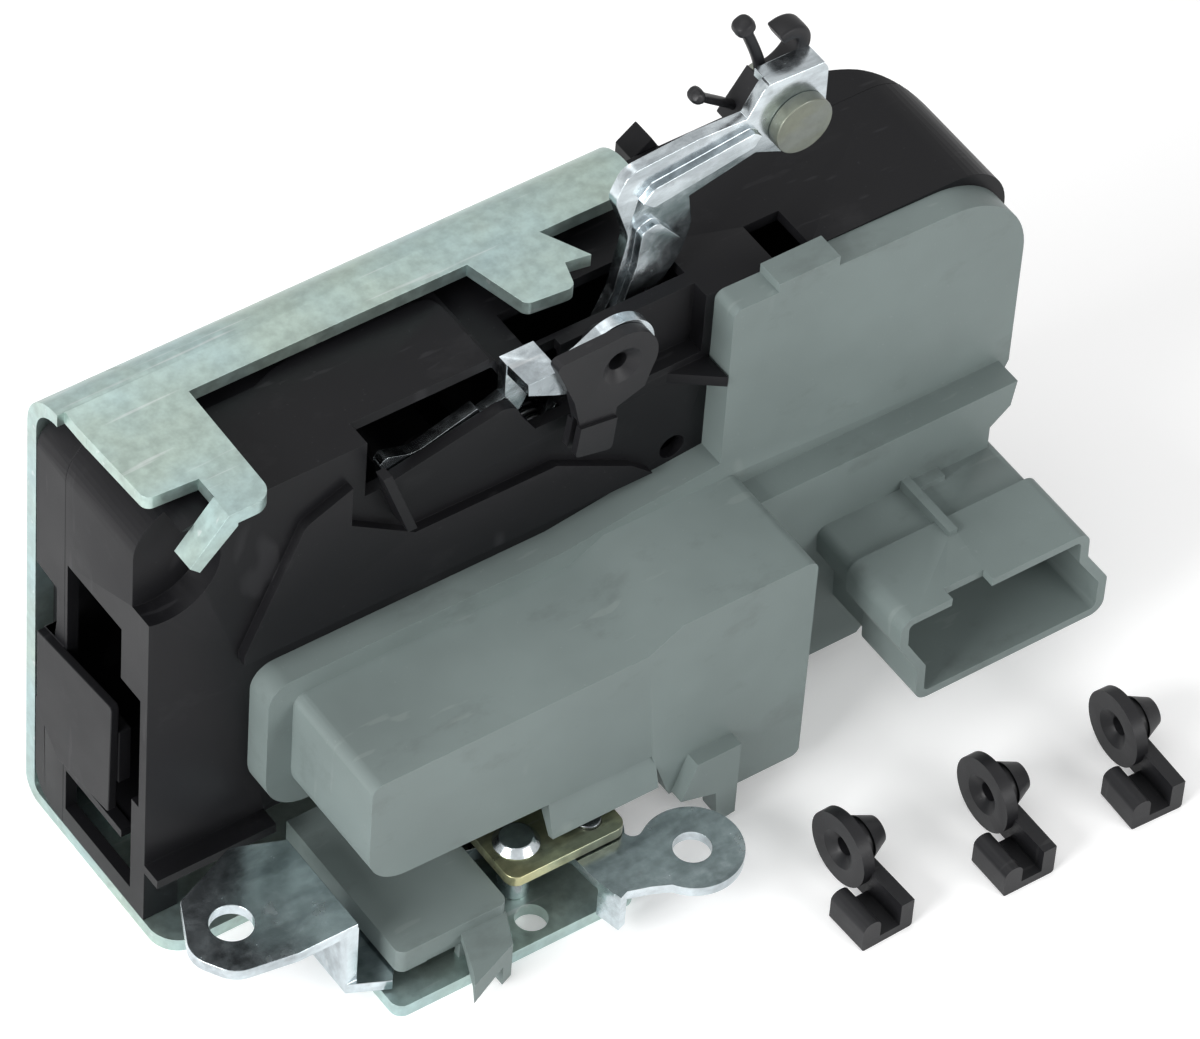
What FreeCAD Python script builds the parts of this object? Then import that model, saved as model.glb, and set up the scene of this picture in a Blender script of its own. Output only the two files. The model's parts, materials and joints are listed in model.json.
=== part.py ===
import FreeCAD, Part
import Sketcher
import math
import os
import re

# Car door lock. Millimetres, +Z up out of the door's shut face.
# The lock stands on its zinc shut-face plate. X runs along the long front of the case,
# Y runs from the front of the case to the back plate. Sizes below are measured from the
# front left corner of the case; every piece is then placed from the first fixing hole.

doc = FreeCAD.newDocument("door_lock")
sheet = doc.addObject("Spreadsheet::Sheet", "dims")

SIZES = {
    # Fixing holes in the shut face, and the place of the part's origin
    "origin_x": 12, "origin_y": 22,
    "hole_b_x": 88, "hole_b_y": 22, "hole_c_x": 49.5, "hole_c_y": -30.2,
    "fixing_r": 2.6, "collar_r": 4.4, "collar_rise": 2.6,
    # Zinc latch plate
    "plate_thick": 2.4, "plate_wide": 98.6, "plate_back": 33, "plate_front": -6.7, "plate_tall": 90,
    "plate_bend": 8, "flange_front": 19.2, "flange_left": 1.3, "tongue_left": 22.7, "tongue_right": 66,
    "tongue_front": -34.4, "plate_corner": 5,
    # Striker slot
    "slot_x": 52, "slot_half": 7, "slot_seat": 3, "slot_tall": 20,
    # Black plastic case
    "case_long": 152, "case_deep": 30.4, "case_foot": 2.5, "case_drop": 3.7, "case_step": 2.1,
    "case_split": 22.5, "case_wall": 2, "case_corner": 8, "case_round": 20, "case_back_round": 6,
    "step_x": 61.6,
    "deck_low": 14.6, "deck_thick": 1.8,
    # Outside release lever
    "lever_thick": 2, "outer_y": 8, "outer_pivot_x": 76, "outer_pivot_z": 52, "rivet_x": 116.6,
    "rivet_z": 103.8,
    "pin_r": 3, "pin_gap": 0.06, "pin_foot": 3, "pin_end": 25,
    # Lock lever and rod clips
    "lock_y": 2.2, "lock_pivot_x": 52, "lock_pivot_z": 66, "lock_arm_y": -2.8, "clip_x": 78, "clip_z": 84,
    "clip_r": 6.4, "clip_thick": 2.1, "stud_r": 3.2, "bulb_r": 3.7, "rod_end_r": 1.6, "rod_groove": 3.8,
    # Latch mechanism, seen from above
    "fork_x": 74, "fork_y": 0, "fork_low": 4, "fork_thick": 4.6, "fork_lobe": 21, "fork_pin_r": 4,
    "fork_turn": 45,
    "pawl_x": 34, "pawl_y": -10, "pawl_low": 5.4, "pawl_thick": 3, "pawl_turn": 8.4,
    "backing_low": 11, "backing_thick": 2,
    "inner_low": 2.9, "inner_top": 16, "inner_thick": 2, "inner_hole_x": 3.7, "inner_hole_y": -18,
    "inner_hole_r": 3.4,
    "key_x": 62, "key_y": -26, "key_low": 8.8, "key_thick": 1.8, "key_eye_x": 73.5, "key_eye_y": -37.1,
    "key_eye_r": 8, "key_hole_r": 3,
    # Grey actuator cover
    "rim_deep": 5, "ledge_deep": 10, "box_deep": 26, "cover_wall": 1.6, "cover_right": 152.5,
    "cover_lip": 0.1,
    "socket_mouth": -33, "socket_step": -19, "socket_floor": -13, "socket_wall": 1.6,
    # Actuator drive
    "motor_y": -14, "motor_z": 34, "motor_left": 34, "motor_long": 32, "motor_r": 9.6,
    "gear_x": 88.5, "gear_teeth": 24, "gear_module": 0.75, "worm_r": 3, "gear_wide": 3, "shaft_r": 1,
    "gear_pin_r": 1.5, "pinion_r": 4, "pinion_teeth": 8, "blade_inset": 6, "blade_top": 27.5, "blade_row": 8,
    # Loose clips
    "spare_x": 96.2, "spare_y": -49.2, "spare_step": 24.9,
}
# Heights that follow the plate's, so that the case keeps its gap under the flange
FOLLOWS = {
    "case_top": "plate_tall - case_drop",
    "case_low_top": "plate_tall - case_drop - case_step",
    "cover_top": "plate_tall - case_drop - case_step + cover_lip",
}
for row, (alias, number) in enumerate(SIZES.items(), start=1):
    sheet.set("A%d" % row, alias)
    sheet.set("B%d" % row, str(number))
    sheet.setAlias("B%d" % row, alias)
doc.recompute()

nodes = []


def ex(text):
    """An expression in which following heights are written out and each size name is read from the sheet."""
    def spelled(found):
        return "(%s)" % FOLLOWS[found.group()] if found.group() in FOLLOWS else found.group()

    def read(found):
        return "dims." + found.group() if found.group() in SIZES else found.group()

    return re.sub(r"[a-z][a-z_]*", read, re.sub(r"[a-z][a-z_]*", spelled, str(text)))


def size(name):
    """The number in the sheet, for pieces worked out in code."""
    return float(sheet.get(name))


def prism(name, plane, points, low, high, rounds=(), holes=()):
    """A Body: a closed outline on a plane, padded between two heights, with chosen corners rounded.

    plane XY is seen from above, XZ from the front and YZ from the right end."""
    body = doc.addObject("PartDesign::Body", name)
    origin_plane = [item for item in body.Origin.OriginFeatures if item.Role == plane + "_Plane"][0]
    sketch = body.newObject("Sketcher::SketchObject", name + "_outline")
    sketch.AttachmentSupport = [(origin_plane, "")]
    sketch.MapMode = "FlatFace"
    base = "-(%s)" % ex(high) if plane == "XZ" else ex(low)
    sketch.setExpression("AttachmentOffset.Base.z", base)
    count = len(points)
    spots = [FreeCAD.Vector(math.cos(2 * math.pi * i / count), math.sin(2 * math.pi * i / count),
        0) for i in range(count)]
    for i in range(count):
        sketch.addGeometry(Part.LineSegment(spots[i], spots[(i + 1) % count]), False)
    for i in range(count):
        sketch.addConstraint(Sketcher.Constraint("Coincident", i, 2, (i + 1) % count, 1))
    for i, point in enumerate(points):
        for kind, text, start in (("DistanceX", point[0], spots[i].x), ("DistanceY", point[1], spots[i].y)):
            index = sketch.addConstraint(Sketcher.Constraint(kind, -1, 1, i, 1, start))
            sketch.setExpression("Constraints[%d]" % index, ex(text))
    for number, (x, y, radius) in enumerate(holes):
        edge = count + number
        sketch.addGeometry(Part.Circle(FreeCAD.Vector(0, 0, 0), FreeCAD.Vector(0, 0, 1), 1), False)
        for kind, text in (("DistanceX", x), ("DistanceY", y)):
            index = sketch.addConstraint(Sketcher.Constraint(kind, -1, 1, edge, 3, 1))
            sketch.setExpression("Constraints[%d]" % index, ex(text))
        index = sketch.addConstraint(Sketcher.Constraint("Radius", edge, 1))
        sketch.setExpression("Constraints[%d]" % index, ex(radius))
    pad = body.newObject("PartDesign::Pad", name + "_pad")
    pad.Profile = sketch
    pad.setExpression("Length", "%s - (%s)" % (ex(high), ex(low)))
    sketch.recompute()
    pad.recompute()
    flat = {"XY": lambda p: (p.x, p.y), "XZ": lambda p: (p.x, p.z), "YZ": lambda p: (p.y, p.z)}[plane]
    last = pad
    for step, (radius, corners) in enumerate(rounds):
        edges = []
        for corner in corners:
            spot = sketch.getPoint(corner, 1)
            for index, edge in enumerate(last.Shape.Edges, start=1):
                ends = [flat(vertex.Point) for vertex in edge.Vertexes]
                if len(ends) == 2 and all(math.dist(end, (spot.x, spot.y)) < 1e-4 for end in ends):
                    edges.append("Edge%d" % index)
        fillet = body.newObject("PartDesign::Fillet", "%s_round_%d" % (name, step))
        fillet.Base = (last, edges)
        fillet.setExpression("Radius", ex(radius))
        fillet.recompute()
        body.Tip = fillet
        last = fillet
    body.recompute()
    return body


def block(name, x, y, z):
    """A box between two places on each axis."""
    box = doc.addObject("Part::Box", name)
    for axis, size_name, (low, high) in (("x", "Length", x), ("y", "Width", y), ("z", "Height", z)):
        box.setExpression("Placement.Base." + axis, ex(low))
        box.setExpression(size_name, "%s - (%s)" % (ex(high), ex(low)))
    box.recompute()
    return box


TURNS = {
    "x": FreeCAD.Rotation(FreeCAD.Vector(0, 1, 0), 90),
    "y": FreeCAD.Rotation(FreeCAD.Vector(1, 0, 0), -90),
    "z": FreeCAD.Rotation(),
}


def rod(name, axis, x, y, z, radius, long, tip=None):
    """A cylinder from a point along +X, +Y or +Z; with tip, a cone that ends at that radius."""
    solid = doc.addObject("Part::Cone" if tip else "Part::Cylinder", name)
    solid.Placement = FreeCAD.Placement(FreeCAD.Vector(), TURNS[axis])
    for key, text in (("Placement.Base.x", x), ("Placement.Base.y", y), ("Placement.Base.z", z),
            ("Height", long)):
        solid.setExpression(key, ex(text))
    if tip:
        solid.setExpression("Radius1", ex(radius))
        solid.setExpression("Radius2", ex(tip))
    else:
        solid.setExpression("Radius", ex(radius))
    solid.recompute()
    return solid


def fuse(name, *pieces):
    joined = doc.addObject("Part::MultiFuse", name)
    joined.Shapes = list(pieces)
    joined.Refine = True
    joined.recompute()
    return joined


def cut(name, base, *tools):
    """What is left of the base when every tool is taken away."""
    tool = tools[0] if len(tools) == 1 else fuse(name + "_tools", *tools)
    result = doc.addObject("Part::Cut", name)
    result.Base = base
    result.Tool = tool
    result.Refine = True
    result.recompute()
    return result


def shared(name, first, second):
    result = doc.addObject("Part::Common", name)
    result.Base = first
    result.Tool = second
    result.Refine = True
    result.recompute()
    return result


def group(name, *pieces):
    """Separate solids that share one node."""
    compound = doc.addObject("Part::Compound", name)
    compound.Links = list(pieces)
    compound.recompute()
    return compound


def node(label, obj, turn=None):
    """Names a finished piece and places it from the part's origin; turn swings it about a pivot at rest."""
    obj.Label = label
    x, y = "-origin_x", "-origin_y"
    if turn:
        pivot_x, pivot_y, angle = turn
        obj.Placement = FreeCAD.Placement(FreeCAD.Vector(), FreeCAD.Rotation(FreeCAD.Vector(0, 0, -1), 10))
        swing = "cos({a}) * ({p}) {s} sin({a}) * ({q})"
        x = "-origin_x + %s - (%s)" % (pivot_x, swing.format(a="(%s) * 1 deg" % angle, p=pivot_x, s="+",
            q=pivot_y))
        y = "-origin_y + %s - (%s)" % (pivot_y, swing.format(a="(%s) * 1 deg" % angle, p=pivot_y, s="-",
            q=pivot_x))
        obj.setExpression("Placement.Rotation.Angle", ex("(%s) * 1 deg" % angle))
    obj.setExpression("Placement.Base.x", ex(x))
    obj.setExpression("Placement.Base.y", ex(y))
    obj.recompute()
    nodes.append(obj)


def coil(name, x, y, z, radius, wire, turns, pitch, leg, axis="y"):
    """A torsion spring: wound wire round +Y or +Z from a point, with a straight leg at each end."""
    helix = Part.makeHelix(pitch, pitch * turns, radius)
    start = FreeCAD.Vector(radius, 0, 0)
    feet = [FreeCAD.Vector(radius, -leg, 0), FreeCAD.Vector(radius, 0, pitch * turns)]
    profile = Part.Wire(Part.makeCircle(wire, start, FreeCAD.Vector(0, 1, 0)))
    wound = Part.Wire(helix).makePipeShell([profile], True, True)
    legs = [Part.makeCylinder(wire, leg, foot, FreeCAD.Vector(0, 1, 0)) for foot in feet]
    solid = wound.fuse(legs)
    if axis == "y":
        solid.rotate(FreeCAD.Vector(), FreeCAD.Vector(1, 0, 0), -90)
    whole = doc.addObject("Part::Feature", name)
    whole.Shape = solid
    placed = doc.addObject("Part::Compound", name + "_placed")
    for key, text in (("x", x), ("y", y), ("z", z)):
        whole.setExpression("Placement.Base." + key, ex(text))
    whole.recompute()
    placed.Links = [whole]
    placed.recompute()
    return placed


def toothed(teeth, root_r, tip_r, pitch_r, half_pitch_width, slope, middle):
    """The flat outline of a straight-toothed wheel; middle turns the first gap from +Z, in radians."""
    spots = []
    for number in range(teeth):
        at = middle + 2 * math.pi * (number + 0.5) / teeth
        for radius, side in ((root_r, -1), (tip_r, -1), (tip_r, 1), (root_r, 1)):
            half = half_pitch_width - slope * (radius - pitch_r)
            turn = at + side * half / radius
            spots.append(FreeCAD.Vector(radius * math.sin(turn), 0, radius * math.cos(turn)))
    return Part.Face(Part.makePolygon(spots + [spots[0]]))


def latch_plate():
    """One bent zinc plate: shut face with a tongue, back plate, top flange, two tabs and a bent finger."""
    channel = prism("plate_channel", "YZ", [
        ("plate_back", "0"), ("plate_back", "plate_tall"), ("flange_front", "plate_tall"),
        ("flange_front", "plate_tall - plate_thick"), ("plate_back - plate_thick",
        "plate_tall - plate_thick"),
        ("plate_back - plate_thick", "plate_thick"), ("plate_front", "plate_thick"), ("plate_front", "0")],
        "0", "plate_wide",
        [("plate_bend", [1]), ("plate_bend - plate_thick", [4]), ("4", [0]), ("1.6", [5])])
    tongue = prism("plate_tongue", "XY", [
        ("tongue_left", "0"), ("tongue_left", "tongue_front"), ("tongue_right", "tongue_front"),
        ("tongue_right", "-12"), ("84", "-12"), ("90", "plate_front"), ("90", "0")],
        "0", "plate_thick", [("2", [1, 2])])
    first_tab = prism("plate_first_tab", "XY", [
        ("flange_left", "flange_front + 1"), ("2", "4.6"), ("10.6", "4.1"), ("10.6", "-4.2"),
        ("18.1", "-4.2"),
        ("18.6", "flange_front + 1")],
        "plate_tall - plate_thick", "plate_tall", [("1.5", [1]), ("3", [4])])
    finger = prism("plate_finger", "XZ", [
        ("12", "plate_tall"), ("10.4", "plate_tall"), ("4", "plate_tall - 7.6"), ("5.7", "plate_tall - 9.3"),
        ("12", "plate_tall - 3")], "-4.2", "0")
    second_tab = prism("plate_second_tab", "XY", [
        ("66.5", "flange_front + 1"), ("69.6", "8"), ("77.7", "7.2"), ("79.2", "12.1"), ("83.4", "11.4"),
        ("79", "flange_front + 1")],
        "plate_tall - plate_thick", "plate_tall", [("1.5", [1, 2])])
    collars = [rod("plate_collar_%d" % i, "z", x, y, "plate_thick / 2", "collar_r",
        "plate_thick / 2 + collar_rise")
               for i, (x, y) in enumerate([("origin_x", "origin_y"), ("hole_b_x", "hole_b_y")])]
    whole = fuse("plate_whole", channel, tongue, first_tab, finger, second_tab, *collars)
    corner = cut("plate_corner_tool", block("plate_corner_block", ("-1", "plate_corner"),
                 ("plate_front - 1", "plate_front + plate_corner"), ("-1", "plate_thick + 1")),
                 rod("plate_corner_round", "z", "plate_corner", "plate_front + plate_corner", "-2",
                 "plate_corner", "8"))
    end = block("plate_end_trim", ("-1", "flange_left"), ("flange_front - 1", "plate_back - plate_bend"),
                ("plate_tall - plate_thick - 1", "plate_tall + 1"))
    slot = fuse("plate_slot_tool",
                block("plate_slot_block", ("slot_x - slot_half", "slot_x + slot_half"),
                      ("slot_seat", "plate_back + 1"), ("-1", "slot_tall - slot_half")),
                rod("plate_slot_end", "z", "slot_x", "slot_seat", "-1", "slot_half", "plate_thick + 2"),
                rod("plate_slot_top", "y", "slot_x", "plate_back - plate_thick - 2", "slot_tall - slot_half",
                    "slot_half", "plate_thick + 3"))
    holes = [rod("plate_hole_%d" % i, "z", x, y, "-1", "fixing_r", "plate_thick + collar_rise + 3")
             for i, (x, y) in enumerate([("origin_x", "origin_y"), ("hole_b_x", "hole_b_y"),
                     ("hole_c_x", "hole_c_y")])]
    node("latch_plate", cut("plate_cut", whole, corner, end, slot, *holes))


def case_shells():
    """Two moulded shells that meet at a flat split; open below over the latch, windowed at the left end."""
    left, right, foot, top = "0", "case_long", "case_foot", "case_top"
    front_view = prism("case_front_view", "XZ", [
        (left, foot), (left, top), ("step_x", top), ("step_x + 1", "case_low_top"), (right, "case_low_top"),
        (right, "42"), ("146", "30"), ("126", foot)], "0", "case_deep", [("case_corner", [1]), ("10", [4])])
    plan = prism("case_plan", "XY", [(left, "0"), (right, "0"), (right, "case_deep"), (left, "case_deep")],
                 "0", "case_top + 1", [("case_round", [2])])
    end_view = prism("case_end_view", "YZ", [
        ("0", foot), ("0", "case_top + 1"), ("case_deep", "case_top + 1"), ("case_deep", foot)], left, right,
        [("case_back_round + 1", [2]), ("case_back_round", [3])])
    whole = shared("case_block", shared("case_block_side", front_view, plan), end_view)
    wall = "case_wall"
    hollow_view = prism("case_hollow_view", "XZ", [
        (wall, "-1"), (wall, "case_top - case_wall"), ("step_x", "case_top - case_wall"),
        ("step_x + 1", "case_low_top - case_wall"), ("case_long - case_wall", "case_low_top - case_wall"),
        ("case_long - case_wall", "43"), ("146 - case_wall", "31"),
        ("126 - case_wall", "case_foot + case_wall"),
        ("101", "case_foot + case_wall"), ("101", "-1")],
        wall, "case_deep - case_wall", [("case_corner - case_wall", [1]), ("8", [4])])
    hollow_plan = prism("case_hollow_plan", "XY", [
        (wall, wall), ("case_long - case_wall", wall), ("case_long - case_wall", "case_deep - case_wall"),
        (wall, "case_deep - case_wall")], "-2", "case_top + 1", [("case_round - case_wall", [2])])
    hollow_end = prism("case_hollow_end", "YZ", [
        ("0", "-2"), ("0", "case_top - case_wall"), ("case_deep - case_wall", "case_top - case_wall"),
        ("case_deep - case_wall", "-2")], left, right, [("case_back_round - case_wall", [2])])
    hollow = shared("case_hollow", shared("case_hollow_side", hollow_view, hollow_plan), hollow_end)
    shell = cut("case_shell", whole, hollow)
    deck = block("case_deck", ("1", "101"), ("1", "case_deep - 1"), ("deck_low", "deck_low + deck_thick"))
    striker = block("case_striker_way", ("slot_x - slot_half - 0.6", "slot_x + slot_half + 0.6"),
                    ("-1", "case_deep + 2"), ("0", "slot_tall + 1"))
    mouth = block("case_front_mouth", ("6", "100"), ("-1", "case_wall + 0.1"), ("0", "deck_low"))
    plateau_edge = prism("case_plateau_edge", "XY", [
        ("-1", "17.8"), ("29", "17.9"), ("32.6", "19.3"), ("38.8", "20.5"), ("58", "19.9"), ("60.4", "19.2"),
        ("61", "17"),
        ("61", "-1"), ("67", "-1"), ("67", "case_deep + 1"), ("-1", "case_deep + 1")],
        "case_top - 0.8", "case_top + 2", [("3", [2, 3]), ("1.5", [5])])
    body = cut("case_with_deck", fuse("case_all", shell, deck), plateau_edge)
    front_half = block("case_front_half", ("-1", "case_long + 1"), ("-1", "case_split"),
        ("0", "case_top + 2"))
    rear_half = block("case_rear_half", ("-1", "case_long + 1"), ("case_split", "case_deep + 1"),
        ("0", "case_top + 2"))

    # Front shell: bosses, raised pads and ribs on the front, then the windows and lever slots
    front = shared("front_blank", body, front_half)
    lip = block("front_lip", ("0", "21"), ("-3.6", "1"), ("deck_low - 1.2", "deck_low + 0.6"))
    sector = prism("front_sector", "XZ", [
        ("15.6", "54"), ("25.6", "76.4"), ("33.6", "80"), ("33.6", "72"), ("45", "64"), ("70", "64"),
        ("84", "56"),
        ("88", "52.2"), ("15.6", "52.2")], "-1.6", "1", [("3", [1])])
    rib = prism("front_rib", "XZ", [("37", "82"), ("38.6", "82"), ("43.6", "68"), ("42", "68")], "-4", "1")
    gusset = prism("front_gusset", "XY", [("89", "1"), ("97.6", "1"), ("97.6", "-5.4")], "69", "71")
    outer_boss = rod("front_outer_boss", "y", "outer_pivot_x", "1", "outer_pivot_z", "pin_r + 3",
        "outer_y - 1.4")
    scoop_back = shared("front_scoop_back", whole, rod("front_scoop_blank", "y", "3", "-1", "77", "10.8",
        "7.3"))
    recess_back = block("front_recess_back", ("73.2", "98"), ("1", "4.7"), ("70.8", "case_low_top - 1"))
    front = fuse("front_with_bosses", front, lip, sector, rib, gusset, outer_boss, scoop_back, recess_back)
    scoop = rod("front_scoop", "y", "3", "-2", "77", "9", "6.5")
    lever_gap = prism("front_lever_gap", "XZ", [
        ("36.8", "case_top + 2"), ("36.8", "75"), ("40", "75.2"), ("62.6", "80.2"), ("64.2", "76.4"),
        ("66.8", "72.4"),
        ("72.6", "72.4"), ("72.6", "case_top + 2")], "-2", "lock_y + lever_thick + 0.4",
        [("1.5", [4]), ("3", [3])])
    outer_gap = block("front_outer_gap", ("68", "96.4"), ("5.6", "13"),
        ("case_low_top - case_wall - 2", "case_top + 2"))
    recess = block("front_recess", ("72.4", "96.4"), ("-1", "3.1"), ("72.4", "case_top + 2"))
    top_window = block("front_top_window", ("109.2", "115.6"), ("0.6", "8.8"),
        ("case_low_top - 3", "case_top + 2"))
    side_window = block("front_side_window", ("-2", "3"), ("7.2", "21.8"), ("38", "61"))
    low_window = cut("front_low_window", block("front_low_window_all", ("-2", "3"), ("3.8", "21.8"),
        ("6.4", "26.8")),
                     block("front_window_bar", ("-3", "4"), ("6.4", "23"), ("15.2", "16.8")))
    slit = block("front_slit", ("-2", "3"), ("1.9", "7.3"), ("26.7", "50.4"))
    round_hole = rod("front_round_hole", "y", "92.4", "-2", "54", "2.2", "6")
    pin_seats = [
        rod("front_outer_seat", "y", "outer_pivot_x", "pin_foot", "outer_pivot_z", "pin_r", "20"),
        rod("front_lock_seat", "y", "lock_pivot_x", "case_wall - 1", "lock_pivot_z", "pin_r - 0.5", "20"),
    ]
    front = cut("front_cut", front, striker, mouth, scoop, lever_gap, outer_gap, recess, top_window,
        side_window,
                low_window, slit, round_hole, *pin_seats)
    node("front_housing", front)

    # Rear shell: closed back, a nub behind the plate's end and a tongue that snaps over the front shell's end
    rear = shared("rear_blank", body, rear_half)
    nub = prism("rear_nub", "XZ", [("103.5", "70"), ("103.5", "83.6"), ("107", "86.2"), ("110.5", "80"),
        ("110.5", "70")],
                "case_deep - 1", "case_deep + 3.4")
    rear_window = prism("rear_window", "YZ", [
        ("28", "24.2"), ("28", "41.8"), ("24.8", "46"), ("24.8", "53.2"), ("case_deep + 1", "54"),
        ("case_deep + 1", "24.2")],
        "-2", "3")
    tongue = prism("rear_tongue", "YZ", [
        ("7.9", "20.3"), ("22", "18.6"), ("27.9", "24.4"), ("27.9", "41.8"), ("7.4", "44.2")], "-1.4", "0",
        [("0.8", [0, 4])])
    tongue_root = block("rear_tongue_root", ("-1", "1"), ("case_split + 0.3", "27.8"), ("26", "41"))
    outer_post = rod("rear_outer_post", "y", "outer_pivot_x", "19.6", "outer_pivot_z", "pin_r + 3",
        "case_deep - 20.6")
    lock_post = rod("rear_lock_post", "y", "lock_pivot_x", "9", "lock_pivot_z", "pin_r + 2", "case_deep - 10")
    seats = [rod("rear_outer_seat", "y", "outer_pivot_x", "18", "outer_pivot_z", "pin_r", "pin_end - 18"),
             rod("rear_lock_seat", "y", "lock_pivot_x", "8", "lock_pivot_z", "pin_r - 0.5", "pin_end - 8")]
    rear = cut("rear_cut", fuse("rear_with_nub", rear, nub, outer_post, lock_post), striker, rear_window,
        *seats)
    node("rear_housing", fuse("rear_done", rear, tongue, tongue_root))


def actuator_cover():
    """Grey moulded cover: rim, motor box, gear column, upper plate, ledge and keyed connector shroud."""
    rim = prism("cover_rim", "XZ", [
        ("17.8", "20"), ("17.8", "48.3"), ("69.8", "48.3"), ("82", "50.1"), ("98", "51.6"),
        ("98", "cover_top"),
        ("cover_right", "cover_top - 1"), ("cover_right", "44"), ("146", "30"), ("124", "3"), ("101.4", "3"),
        ("101.4", "15"),
        ("64", "15"), ("50", "20")], "-rim_deep", "0", [("8", [0]), ("4", [1]), ("1.5", [5]), ("15", [6])])
    box = prism("cover_box", "XZ", [
        ("22.2", "22"), ("22.2", "44.6"), ("71", "44.6"), ("77", "48"), ("101.5", "48"), ("101.5", "4"),
        ("89", "4"),
        ("86.6", "9.6"), ("77", "9.6"), ("73", "20.7")], "-box_deep", "-rim_deep + 1",
        [("7", [0]), ("2", [1, 4]), ("1.5", [5, 6])])
    ledge = prism("cover_ledge", "XZ", [
        ("100", "45"), ("150.4", "45"), ("149.6", "40"), ("146", "37"), ("146", "30"), ("124", "3"),
        ("100", "3")],
        "-ledge_deep", "-rim_deep + 1")
    top_notch = prism("cover_top_notch", "XZ", [
        ("106", "cover_top - 4"), ("106", "cover_top + 1.6"), ("117", "cover_top + 1.6"),
        ("117", "cover_top - 4")],
        "-rim_deep", "0")
    shroud_outline = [
        ("113", "33.6"), ("148.5", "33.6"), ("148.7", "27.6"), ("153.2", "20.6"), ("153.2", "13"),
        ("117.4", "13"),
        ("117.2", "20.6"), ("113.2", "27.6")]
    shroud = prism("cover_shroud", "XZ", shroud_outline, "socket_mouth", "socket_step",
                   [("2.5", [0, 1, 4, 5]), ("1.6", [2, 3, 6, 7])])
    neck = prism("cover_neck", "XZ", [
        ("114", "32.6"), ("147.5", "32.6"), ("147.7", "27.6"), ("152", "20.6"), ("152", "14"),
        ("118.4", "14"),
        ("118.2", "20.6"), ("114.2", "27.6")], "socket_step - 1", "-ledge_deep + 4", [("1.6", [0, 1, 4, 5])])
    latch_rib = block("cover_latch_rib", ("129.4", "131"), ("-22.5", "-ledge_deep + 1"), ("31", "34.6"))
    latch_pad = block("cover_latch_pad", ("129.4", "136.4"), ("-ledge_deep - 2", "-ledge_deep + 1"),
        ("31", "33.6"))
    skirt = prism("cover_skirt", "YZ", [
        ("-box_deep + 1", "22"), ("-box_deep - 1.2", "14.2"), ("-box_deep", "13.8"), ("-box_deep + 4", "21")],
        "54.8", "74")
    leg = prism("cover_leg", "XZ", [
        ("77.4", "10"), ("80", "17"), ("88", "17"), ("88", "1.4"), ("84.6", "0.8"), ("84", "8")],
        "-box_deep - 2.6", "-box_deep + 1", [("2", [4])])
    whole = fuse("cover_whole", rim, box, ledge, top_notch, shroud, neck, latch_rib, latch_pad, skirt, leg)
    box_hollow = prism("cover_box_hollow", "XZ", [
        ("22.2 + cover_wall", "22 + cover_wall"), ("22.2 + cover_wall", "44.6 - cover_wall"),
        ("71", "44.6 - cover_wall"), ("77", "48 - cover_wall"), ("101.5 - cover_wall", "48 - cover_wall"),
        ("101.5 - cover_wall", "4 + cover_wall"), ("90", "4 + cover_wall"), ("87.6", "9.6 + cover_wall"),
        ("77 + cover_wall", "9.6 + cover_wall"), ("74", "20.7 + cover_wall")],
        "-box_deep + cover_wall", "1", [("5.4", [0])])
    upper_hollow = prism("cover_upper_hollow", "XZ", [
        ("98 + cover_wall", "20"), ("98 + cover_wall", "cover_top - cover_wall"),
        ("cover_right - cover_wall", "cover_top - 1 - cover_wall"), ("cover_right - cover_wall", "46"),
        ("143", "32"),
        ("122", "5"), ("98 + cover_wall", "5")], "-rim_deep + cover_wall", "1", [("13", [2])])
    ledge_hollow = prism("cover_ledge_hollow", "XZ", [
        ("103.4", "43.4"), ("146.6", "43.4"), ("144", "32"), ("122", "5"), ("103.4", "5")],
        "-ledge_deep + cover_wall", "1")
    mouth = prism("cover_mouth", "XZ", [
        ("113 + socket_wall", "33.6 - socket_wall"), ("148.5 - socket_wall", "33.6 - socket_wall"),
        ("148.7 - socket_wall", "27.2"), ("153.2 - socket_wall", "20.2"),
        ("153.2 - socket_wall", "13 + socket_wall"),
        ("117.4 + socket_wall", "13 + socket_wall"), ("117.2 + socket_wall", "20.6"),
        ("113.2 + socket_wall", "27.6")],
        "socket_mouth - 1", "socket_floor", [("1", [0, 1, 4, 5])])
    mouth_notch = block("cover_mouth_notch", ("122.5", "130"), ("socket_mouth - 1", "socket_mouth + 2.4"),
        ("31", "36"))
    node("actuator_cover", cut("cover_cut", whole, box_hollow, upper_hollow, ledge_hollow, mouth, mouth_notch,
                               *connector_blades("blade_way")))


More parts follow.
